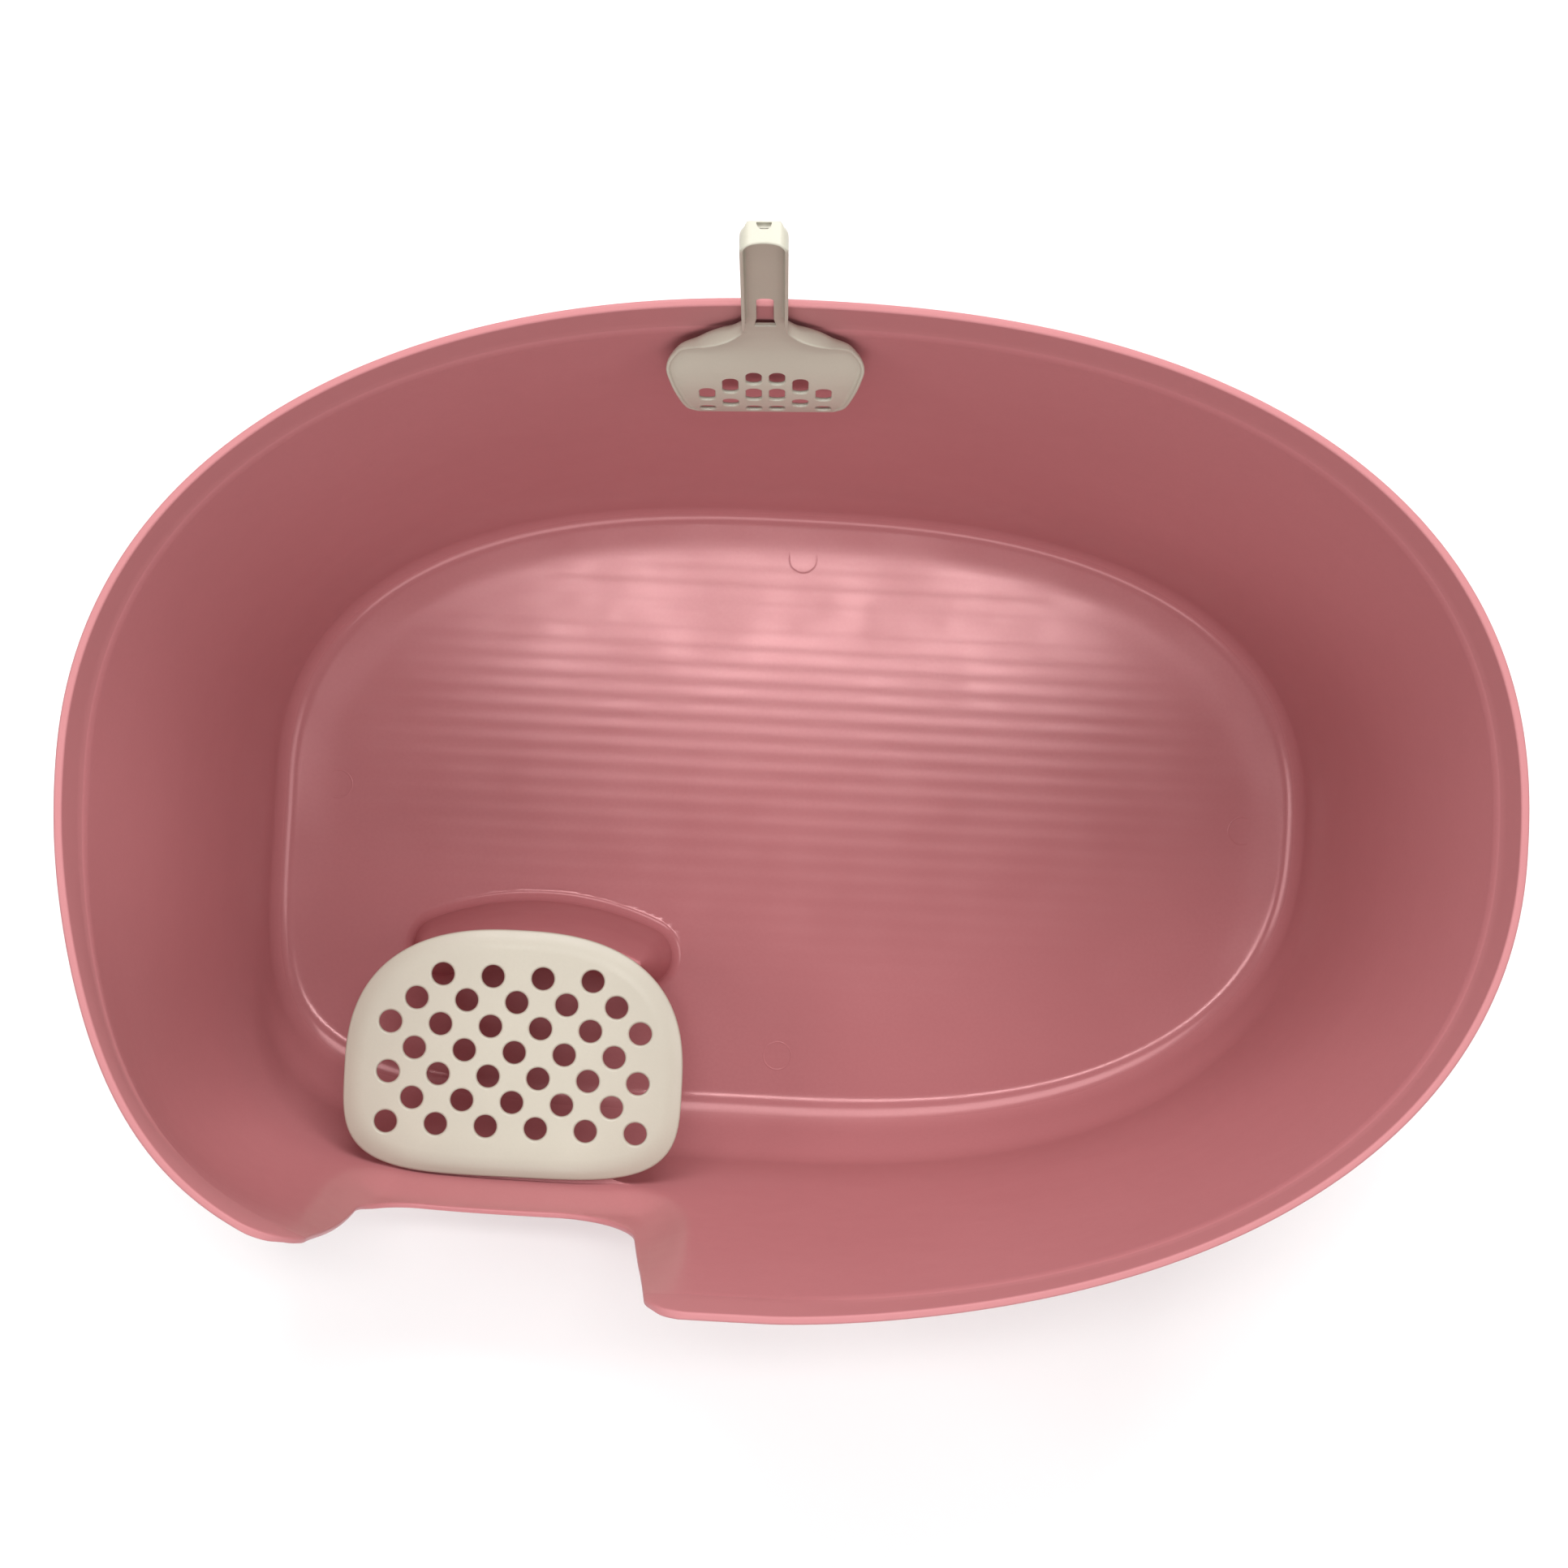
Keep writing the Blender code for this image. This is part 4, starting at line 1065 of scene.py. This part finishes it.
@dataclass
class StepPlate:
    """The lift-out step: a crowned plate with a turned-down edge and staggered round holes with soft rims."""

    finish: bpy.types.Material
    place: Triple = (-0.1220, -0.13004, 0.0973)
    width: float = 0.1570
    rear_depth: float = 0.0672
    front_depth: float = 0.0476
    thickness: float = 0.0026
    skirt: float = 0.0050
    skirt_wall: float = 0.0022
    crown_width: float = 0.0095
    crown_drop: float = 0.0018
    edge_round: float = 0.0013
    rear_power: float = 2.5
    front_power: float = 3.9
    hole_diameter: float = 0.0105
    hole_pitch: float = 0.0232
    hole_columns: int = 6
    row_setback: float = 0.0219
    reach_share: float = 0.6
    hole_round: float = 0.0013
    hole_flare: float = 0.0003
    hole_steps: int = 7
    hole_stations: int = 40
    crown_steps: int = 8
    stations: int = 200

    def build(self) -> Piece:
        """Builds and dresses the plate."""
        plate = grown("step_plate_body", self.rings())
        carve(plate, self.hole_tool(), Cut.REMOVE)
        shade(plate, even=True)
        plate.data.materials.clear()
        plate.data.materials.append(self.finish)
        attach(plate, "step_plate")
        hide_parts("step_plate")
        return plate

    def side(self, rear: bool) -> Pair:
        """Depth of the rear or the front half of the outline, and how square it is."""
        return (self.rear_depth, self.rear_power) if rear else (self.front_depth, self.front_power)

    def ring(self, inset: float, drop: float) -> Ring:
        """One ring of the outline, set in by this much: an arch at the rear, nearly straight in front."""
        centre = Vector(self.place) + SHIFT
        points: Ring = []
        for step in range(self.stations):
            angle = math.tau * step / self.stations
            depth, power = self.side(math.sin(angle) >= 0)
            radius = superellipse(angle, self.width / 2 - inset, depth - inset, power)
            points.append(centre + Vector((radius * math.cos(angle), radius * math.sin(angle), -drop)))
        return points

    def rings(self) -> list[Ring]:
        """Rings from the flat top over the crown, down the skirt and back under it."""
        rings: list[Ring] = []
        for share in evenly(0.0, 1.0, self.crown_steps):
            rings.append(self.ring(mix(self.crown_width, self.edge_round, share), self.crown_drop * share**2))
        lean = 2 * self.crown_drop / (self.crown_width - self.edge_round)
        start = math.atan(lean)
        for turn in evenly(start, math.pi / 2, 5)[1:]:
            drop = self.crown_drop + self.edge_round * (math.cos(start) - math.cos(turn))
            inset = self.edge_round * (1 - (math.sin(turn) - math.sin(start)) / (1 - math.sin(start)))
            rings.append(self.ring(inset, drop))
        foot, wall = self.skirt, self.skirt_wall
        small = wall / 5
        under = (
            (0.0, foot - small),
            (small * 0.3, foot - small * 0.3),
            (small, foot),
            (wall - small, foot),
            (wall, foot - small),
            (wall + small, self.thickness + self.crown_drop * 0.9),
            (self.crown_width / 2, self.thickness + self.crown_drop / 4),
            (self.crown_width, self.thickness),
        )
        return rings + [self.ring(inset, drop) for inset, drop in under]

    def hole_places(self) -> Profile:
        """Centres of the holes: staggered rows, leaving out those too near the edge."""
        places: Profile = []
        first = self.rear_depth - self.row_setback
        last = self.row_setback - self.front_depth
        rows = 1 + int((first - last) / (self.hole_pitch / 2))
        for row in range(rows):
            y = first - row * self.hole_pitch / 2
            depth, power = self.side(y > 0)
            columns = self.hole_columns - row % 2
            for column in range(columns):
                x = (column - (columns - 1) / 2) * self.hole_pitch
                if (abs(x) / (self.width / 2)) ** power + (abs(y) / depth) ** power < self.reach_share:
                    places.append((x, y))
        return places

    def hole_tool(self) -> Piece:
        """All holes as one tool: one flared pin, copied to each place."""
        radius = self.hole_diameter / 2
        start = math.radians(12)
        edge = rounded_edge(self.hole_round, start, self.hole_steps)
        flare = self.hole_flare / math.tan(start)
        centre = Vector(self.place) + SHIFT
        rows = [(radius + edge[0][0] + flare, centre.z + self.hole_flare)]
        rows += [(radius + back, centre.z - depth) for back, depth in edge]
        rows.append((radius, centre.z - self.skirt))
        pin = grown("hole_pin", [circle(Vector((0.0, 0.0)), r, z, self.hole_stations) for r, z in rows])
        pins = []
        for x, y in self.hole_places():
            copy = pin.copy()
            copy.data = pin.data.copy()
            bpy.context.scene.collection.objects.link(copy)
            copy.data.transform(Matrix.Translation((centre.x + x, centre.y + y, 0.0)))
            pins.append(copy)
        bpy.data.objects.remove(pin)
        return joined(pins, "hole_pins")


# Scoop


@dataclass
class Scoop:
    """The scoop: slotted head, channel handle with a closed end, and the hook that hangs on the rim.

    It is modelled flat, as (across, along, out): out is 0 on the face towards the wall. Then the head is bent
    away from the wall and the whole scoop is laid against the leaning rear wall.
    """

    finish: bpy.types.Material
    x: float = -0.0214
    yaw: float = math.radians(2.5)
    wall: float = 0.0018
    handle_width: float = 0.0188
    handle_depth: float = 0.0095
    end_round: float = 0.0042
    head_width: float = 0.0834
    head_below_rim: float = 0.0975
    head_standout: float = 0.0122
    shoulder_wall: float = 0.0085
    neck_reach: float = 0.0120
    flange: float = 0.0015
    rear_round: float = 0.0049
    end_rear_round: float = 0.0008
    rear_round_share: float = 0.75
    corner_round: float = 0.0016
    end_arch: float = 0.0019
    slot_width: float = 0.0067
    slot_pitch: Pair = (0.0099, 0.0158)
    slot_round: float = 0.0029
    slot_first: float = 0.0100
    # Lower and upper end of each row of slots, measured from its middle
    whole_rows: tuple[Pair, ...] = ((-0.0062, 0.0024), (-0.0062, 0.0062), (-0.0062, 0.0026))
    half_rows: tuple[Pair, ...] = ((-0.0062, 0.0034), (-0.0062, 0.0062))
    hole_width: float = 0.0070
    hole_reach: Pair = (0.0160, 0.0160)
    hook_thickness: float = 0.0020
    hook_drop: float = 0.0180
    hook_gap: float = 0.0008
    hook_gap_width: float = 0.0082
    recess_radius: float = 0.0029
    recess_depth: float = 0.0018
    recess_wall: float = 0.0007
    recess_lift: float = 0.0002
    cut_spacing: float = 0.0015
    outline_spacing: float = 0.0022
    hole_spacing: float = 0.0012
    side_steps: int = 90
    end_steps: int = 12
    lip_steps: int = 24
    flange_steps: int = 8
    recess_steps: int = 24
    side_share: float = 0.95
    handle_shares: tuple[float, ...] = (0.04, 0.1, 0.2, 0.3, 0.4, 0.5, 0.6, 0.7, 0.8, 0.9)
    end_turn: Pair = (0.7, 1.0)
    arch_start: float = 0.55
    arch_dip: float = 1.2
    cutter_start: float = math.radians(26)
    # The hang hole's width at its foot, where it narrows, and how round its top is, as shares
    hole_foot_share: float = 1.25
    hole_waist_share: float = 0.55
    hole_top_share: float = 0.85
    hole_rounds: Pair = (0.0002, 0.0040)
    hook_soft_share: float = 0.45
    hook_ease_share: float = 0.3
    # From the lip up: shares of the head's length, width beyond the neck, stand-out and flange height
    station_shares: tuple[tuple[float, float, float, float], ...] = (
        (0.000, 0.61, 0.88, 0.00),
        (0.015, 0.63, 0.90, 0.02),
        (0.050, 0.67, 0.94, 0.06),
        (0.110, 0.75, 0.99, 0.12),
        (0.170, 0.80, 1.00, 0.16),
        (0.250, 0.85, 0.98, 0.19),
        (0.350, 0.92, 0.88, 0.20),
        (0.430, 0.97, 0.73, 0.20),
        (0.490, 1.00, 0.58, 0.20),
        (0.550, 0.97, 0.42, 0.20),
        (0.610, 0.89, 0.28, 0.24),
        (0.665, 0.80, 0.19, 0.33),
        (0.710, 0.66, 0.13, 0.50),
        (0.750, 0.53, 0.09, 0.69),
        (0.790, 0.37, 0.05, 0.81),
        (0.830, 0.21, 0.03, 0.82),
        (0.870, 0.09, 0.00, 0.77),
        (0.910, 0.02, 0.00, 0.74),
        (0.950, 0.00, 0.00, 0.79),
        (1.000, 0.00, 0.00, 0.88),
    )

    def build(self) -> Piece:
        """Builds and dresses the scoop."""
        scoop = grown("scoop_body", self.rings())
        steps = int(self.head_below_rim / self.cut_spacing)
        levels = [-self.head_below_rim * step / steps for step in range(1, steps)]
        planes = [(Vector((0.0, along, 0.0)), Vector((0.0, 1.0, 0.0))) for along in levels]
        cut_across(scoop, lambda face: len(face.verts) > 40, planes)
        carve(scoop, self.hook_tool(), Cut.ADD)
        carve(scoop, self.hole_tool(), Cut.REMOVE)
        carve(scoop, self.slot_tool(), Cut.REMOVE)
        carve(scoop, self.recess_tool(), Cut.REMOVE)
        move_points(scoop, self.hung)
        shade(scoop, even=True)
        scoop.data.materials.clear()
        scoop.data.materials.append(self.finish)
        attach(scoop, "scoop")
        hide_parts("scoop")
        return scoop

    def share_at(self, along: float, column: int) -> float:
        """One column of the table of shares at this height along the wall, on a smooth curve through it."""
        place = (along + self.head_below_rim) / self.head_below_rim
        table = self.station_shares
        if place <= table[0][0]:
            return table[0][column]
        if place >= table[-1][0]:
            return table[-1][column]
        index = max(i for i, row in enumerate(table) if row[0] <= place)
        before, low, high, after = (table[min(max(index + i, 0), len(table) - 1)] for i in (-1, 0, 1, 2))
        span = high[0] - low[0]
        share = (place - low[0]) / span
        leave = (high[column] - before[column]) / (high[0] - before[0]) * span
        arrive = (after[column] - low[column]) / (after[0] - low[0]) * span
        return (
            (2 * share**3 - 3 * share**2 + 1) * low[column]
            + (share**3 - 2 * share**2 + share) * leave
            + (-2 * share**3 + 3 * share**2) * high[column]
            + (share**3 - share**2) * arrive
        )

    def outline(self) -> Profile:
        """The scoop's outline seen from the front, counterclockwise from the right end of the lip."""
        neck = self.handle_width / 2
        half = self.head_width / 2
        right: Profile = []
        for step in range(self.side_steps + 1):
            along = -self.head_below_rim * (1 - step / self.side_steps * self.side_share)
            right.append((mix(neck, half, self.share_at(along, 1)), along))
        lip = right[0][0]
        top, bend = HANDLE_ABOVE_RIM, self.end_round
        right += [(neck, mix(0.0, top - bend, share)) for share in self.handle_shares]
        corners = [(neck, 0.0, 0.0), (neck, top, bend), (-neck, top, bend), (-neck, 0.0, 0.0)]
        end = rounded_corners(corners, self.end_steps)[1:-1]
        left = [(-u, v) for u, v in reversed(right)]
        front = [(u, -self.head_below_rim) for u in evenly(-lip, lip, self.lip_steps)[1:-1]]
        return softened(softened(resampled([*right, *end, *left, *front], self.outline_spacing)))

    def flange_height(self, across: float, along: float) -> float:
        """How far the side wall stands out from the web at this place of the outline."""
        tall = self.handle_depth - self.wall
        if along < 0:
            return self.shoulder_wall * self.share_at(along, 3)
        if along < self.neck_reach:
            shoulder = self.shoulder_wall * self.station_shares[-1][3]
            return mix(shoulder, tall, ease(0.0, self.neck_reach, along))
        top = HANDLE_ABOVE_RIM
        rise = self.end_arch * ease(top * self.arch_start, top - self.end_round, along)
        middle = 1 - (abs(across) / (self.handle_width / 2)) ** 2
        at_end = ease(top - self.end_round, top - self.end_round / 3, along)
        return tall + rise - self.end_arch * self.arch_dip * max(middle, 0.0) * at_end

    def rear_bend(self, v: float, n_v: float, tall: float) -> float:
        """Radius of the rear edge at this place of the outline: smaller at the lip and the handle's end."""
        if v <= 0 and n_v <= -0.5:
            return self.wall / 2
        full = mix(self.rear_round, self.end_rear_round, ease(*self.end_turn, n_v))
        return min(full, self.rear_round_share * (self.wall + tall))

    def rings(self) -> list[Ring]:
        """Rings from the rear face round the edge, up the side wall, over it and down to the web."""
        points = self.outline()
        normals = outline_normals(points)
        heights = [self.flange_height(across, along) for across, along in points]
        web, half = self.wall, self.flange / 2
        bends = [self.rear_bend(v, n_v, tall) for (_, v), (_, n_v), tall in zip(points, normals, heights)]

        def ring(inset: float, out: Callable[[float], float]) -> Ring:
            """One ring, set in from the outline, whose stand-out depends on the side wall's height."""
            places = moved_out(points, normals, -inset)
            return [Vector((u, v, out(tall))) for (u, v), tall in zip(places, heights)]

        rings: list[Ring] = []
        for drop, back in quarter_arc(8):
            rings.append([
                Vector((u - back * bend * n_u, v - back * bend * n_v, drop * bend))
                for (u, v), (n_u, n_v), bend in zip(points, normals, bends)
            ])
        for step in range(self.flange_steps + 1):
            turn = math.pi * step / self.flange_steps
            rise = half * math.sin(turn)
            inset = half * (1 - math.cos(turn))
            rings.append(ring(inset, lambda tall: web + max(tall - half, 0.0) + rise * min(tall / half, 1.0)))
        corner = self.corner_round
        for by_cos, by_sin in quarter_arc(5):
            rise = corner * by_sin
            inset = self.flange + corner * by_cos
            rings.append(ring(inset, lambda tall: web + min(rise, max(tall - half, 0.0) * rise / corner)))
        return rings

    def hung(self, point: Vector) -> Vector:
        """Takes a point of the flat scoop to its place: the head bent out, the whole laid on the wall."""
        across, along, out = point
        if along < 0:
            out += self.head_standout * self.share_at(along, 2)
        power = SHAPE.rim_power_rear_left
        share = (abs(self.x) / (SHAPE.rim_length / 2 - SHAPE.rim_lip)) ** power
        inner = (SHAPE.rim_depth / 2 - SHAPE.rim_lip) * (1 - share) ** (1 / power)
        turn = Matrix.Rotation(self.yaw, 3, "Z") @ Matrix.Rotation(-REAR_LEAN, 3, "X")
        rest = Vector((self.x, inner, SHAPE.rim_height)) + SHIFT
        return rest + turn @ Vector((across, -(SCOOP_STANDOFF + out), along))

    def waisted_tool(self, name: str, outline: Profile, radius: float) -> Piece:
        """A tool that cuts through the web and leaves the cut's edges rounded.

        Args:
            name: the tool's name.
            outline: the hole at its narrowest, counterclockwise.
            radius: radius of the rounding on both faces.

        Returns:
            The tool.
        """
        edge = rounded_edge(radius, self.cutter_start, 4)
        normals = outline_normals(outline)
        out = self.wall / 2
        wide = edge[0][0] + out / math.tan(self.cutter_start)
        rows = [(-out, wide)]
        rows += [(depth, back) for back, depth in edge]
        rows += [(self.wall - depth, back) for back, depth in reversed(edge)]
        rows.append((self.wall + out, wide))
        rings = [[Vector((u, v, w)) for u, v in moved_out(outline, normals, back)] for w, back in rows]
        return grown(name, rings)

    def slot_tool(self) -> Piece:
        """All slots as one tool: staggered columns, the two middle ones tallest."""
        half, bend = self.slot_width / 2, self.slot_round
        tools = []
        for column in range(-3, 3):
            across = (column + 0.5) * self.slot_pitch[0]
            staggered = abs(column + 0.5) == 1.5
            rows = self.half_rows if staggered else self.whole_rows
            for row, (below, above) in enumerate(rows[: 3 if abs(column + 0.5) == 0.5 else 2]):
                along = -self.head_below_rim + self.slot_first + (row + staggered / 2) * self.slot_pitch[1]
                left, right, low, high = across - half, across + half, along + below, along + above
                corners = [(left, low, bend), (right, low, bend), (right, high, bend), (left, high, bend)]
                outline = resampled(rounded_corners(corners, 5), self.hole_spacing)
                tools.append(self.waisted_tool("slot", outline, self.wall / 2))
        return joined(tools, "slots")

    def hole_tool(self) -> Piece:
        """The round-topped hole at the foot of the handle, wider at its lower end."""
        half = self.hole_width / 2
        high, low = self.hole_reach
        foot, top = half * self.hole_foot_share, half * self.hole_top_share
        waist = -low * self.hole_waist_share
        foot_round, waist_round = self.hole_rounds
        corners = [
            (-foot, -low, foot_round),
            (foot, -low, foot_round),
            (half, waist, waist_round),
            (half, high, top),
            (-half, high, top),
            (-half, waist, waist_round),
        ]
        outline = resampled(rounded_corners(corners, 6), self.hole_spacing)
        return self.waisted_tool("hang_hole", outline, self.wall * 0.3)

    def recess_tool(self) -> Piece:
        """The shallow half-round recess in the handle's end, flat towards the rear."""
        radius, foot = self.recess_radius, self.recess_wall
        turns = [math.pi * step / self.recess_steps for step in range(self.recess_steps + 1)]
        arc = [(radius * math.cos(turn), foot + radius * math.sin(turn) + self.recess_lift) for turn in turns]
        outline = [(radius, foot), *arc, (-radius, foot)]
        top = HANDLE_ABOVE_RIM
        rows = (top - self.recess_depth, top + self.recess_depth)
        return grown("recess", [[Vector((u, along, w)) for u, w in outline] for along in rows])

    def hook_tool(self) -> Piece:
        """The two-legged hook on the handle's back: it rests on the rim and drops behind it."""
        half = self.handle_width / 2 - self.flange
        rest = SHAPE.rim_lip * math.tan(REAR_LEAN) + SHAPE.gap
        inner = -(SHAPE.rim_lip + self.hook_gap + SCOOP_STANDOFF)
        front = self.wall / 2
        thick = self.hook_thickness
        soft = thick * self.hook_soft_share
        eased = soft * self.hook_ease_share
        corners = [
            (front, rest, 0.0),
            (front, rest + thick, 0.0),
            (inner - thick, rest + thick, thick),
            (inner - thick, rest - self.hook_drop, soft),
            (inner, rest - self.hook_drop, soft),
            (inner, rest, soft),
        ]
        outline = rounded_corners(corners, 6)
        normals = outline_normals(outline)
        legs = []
        for low, high in ((-half, -self.hook_gap_width / 2), (self.hook_gap_width / 2, half)):
            steps = ((low, soft), (low + eased, eased), (low + soft, 0.0))
            steps += ((high - soft, 0.0), (high - eased, eased), (high, soft))
            rows = [(across, moved_out(outline, normals, -inset)) for across, inset in steps]
            legs.append(grown("hook", [[Vector((across, v, u)) for u, v in row] for across, row in rows]))
        return joined(legs, "hook")


# Feet


@dataclass
class Feet:
    """The four soft discs pressed into the sockets under the floor."""

    finish: bpy.types.Material
    places: dict[str, Vector]
    diameter: float = 0.0140
    thickness: float = 0.0027
    eased: float = 0.0007
    stations: int = 64

    def build(self) -> list[Piece]:
        """Builds and dresses the feet."""
        feet = []
        half = self.diameter / 2
        rows = [(half - self.eased * by_sin, self.eased * by_cos) for by_cos, by_sin in quarter_arc(4)]
        rows.append((half, self.thickness))
        for node, place in self.places.items():
            foot = grown(f"{node}_pad", [circle(place, r, z, self.stations) for r, z in rows])
            shade(foot, even=True)
            foot.data.materials.append(self.finish)
            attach(foot, "tub")
            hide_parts(node)
            feet.append(foot)
        return feet


# Studio


@dataclass(frozen=True)
class SoftLight:
    """One soft light: where it hangs, what it points at, its width and height, and its power in watts."""

    name: str
    place: Triple
    target: Triple
    size: Pair
    power: float

    def hang(self) -> None:
        """Adds the light to the scene."""
        data = bpy.data.lights.new(self.name, "AREA")
        data.shape = "RECTANGLE"
        data.size, data.size_y = self.size
        data.energy = self.power
        light = bpy.data.objects.new(self.name, data)
        light.location = self.place
        aim = Vector(self.target) - Vector(self.place)
        light.rotation_euler = aim.to_track_quat("-Z", "Y").to_euler()
        bpy.context.scene.collection.objects.link(light)


LIGHTS = (
    SoftLight("overhead_soft", (0.0, 0.190, 2.1), (0.0, 0.0, 0.0), (0.64, 0.12), 6.2),
    SoftLight("rear_box", (0.1, 1.55, 1.7), (0.0, -0.05, 0.1), (1.8, 1.2), 43.0),
    SoftLight("left_box", (-1.5, 0.1, 1.9), (0.0, 0.0, 0.1), (1.0, 0.7), 12.0),
    SoftLight("right_box", (1.5, 0.1, 1.9), (0.0, 0.0, 0.1), (1.0, 0.7), 8.5),
    SoftLight("front_box", (0.1, -1.5, 1.6), (0.0, 0.1, 0.15), (1.8, 0.8), 18.0),
)


@dataclass
class Studio:
    """The pale floor, the soft lights and the camera that looks straight down."""

    camera_height: float = 1.657
    camera_turn: float = math.radians(3)
    camera_side: Pair = (-0.0030, 0.0115)
    lens: float = 77.31
    sensor: float = 36.0
    floor_size: float = 12.0
    sky: float = 0.43

    def build(self) -> None:
        """Sets the whole studio up."""
        self.add_floor()
        self.add_camera()
        for light in LIGHTS:
            light.hang()
        world = bpy.data.worlds.new("studio_sky")
        world.use_nodes = True
        background = world.node_tree.nodes["Background"].inputs
        background["Color"].default_value = (1.0, 1.0, 1.0, 1.0)
        background["Strength"].default_value = self.sky
        bpy.context.scene.world = world
        bpy.context.scene.view_settings.view_transform = "Standard"

    def add_floor(self) -> None:
        """Lays the pale floor that the tub stands on."""
        deselect_all()
        bpy.ops.mesh.primitive_plane_add(size=self.floor_size)
        floor = bpy.context.object
        floor.name = "studio_floor"
        floor.data.materials.append(StudioFloor().make())

    def add_camera(self) -> None:
        """Hangs the camera over the tub, turned a little against it."""
        turn = self.camera_turn
        right = Vector((math.cos(turn), math.sin(turn), 0.0))
        up = Vector((-math.sin(turn), math.cos(turn), 0.0))
        place = right * self.camera_side[0] + up * self.camera_side[1] + SHIFT
        data = bpy.data.cameras.new("photo_camera")
        data.lens = self.lens
        data.sensor_width = self.sensor
        camera = bpy.data.objects.new("photo_camera", data)
        camera.location = (place.x, place.y, self.camera_height)
        camera.rotation_euler = (0.0, 0.0, turn)
        bpy.context.scene.collection.objects.link(camera)
        bpy.context.scene.camera = camera


def main() -> None:
    """Builds every piece in order and reports it."""
    logging.basicConfig(level=logging.INFO, format="%(message)s")
    tub = Tub(TubPlastic().make())
    accent = AccentPlastic().make()
    pieces = [tub.build(), StepPlate(accent).build(), Scoop(accent).build()]
    pieces += Feet(FootRubber().make(), tub.foot_places()).build()
    for piece in pieces:
        LOG.info("%s: %d faces", piece.name, len(piece.data.polygons))
    Studio().build()


if __name__ == "__main__":
    main()
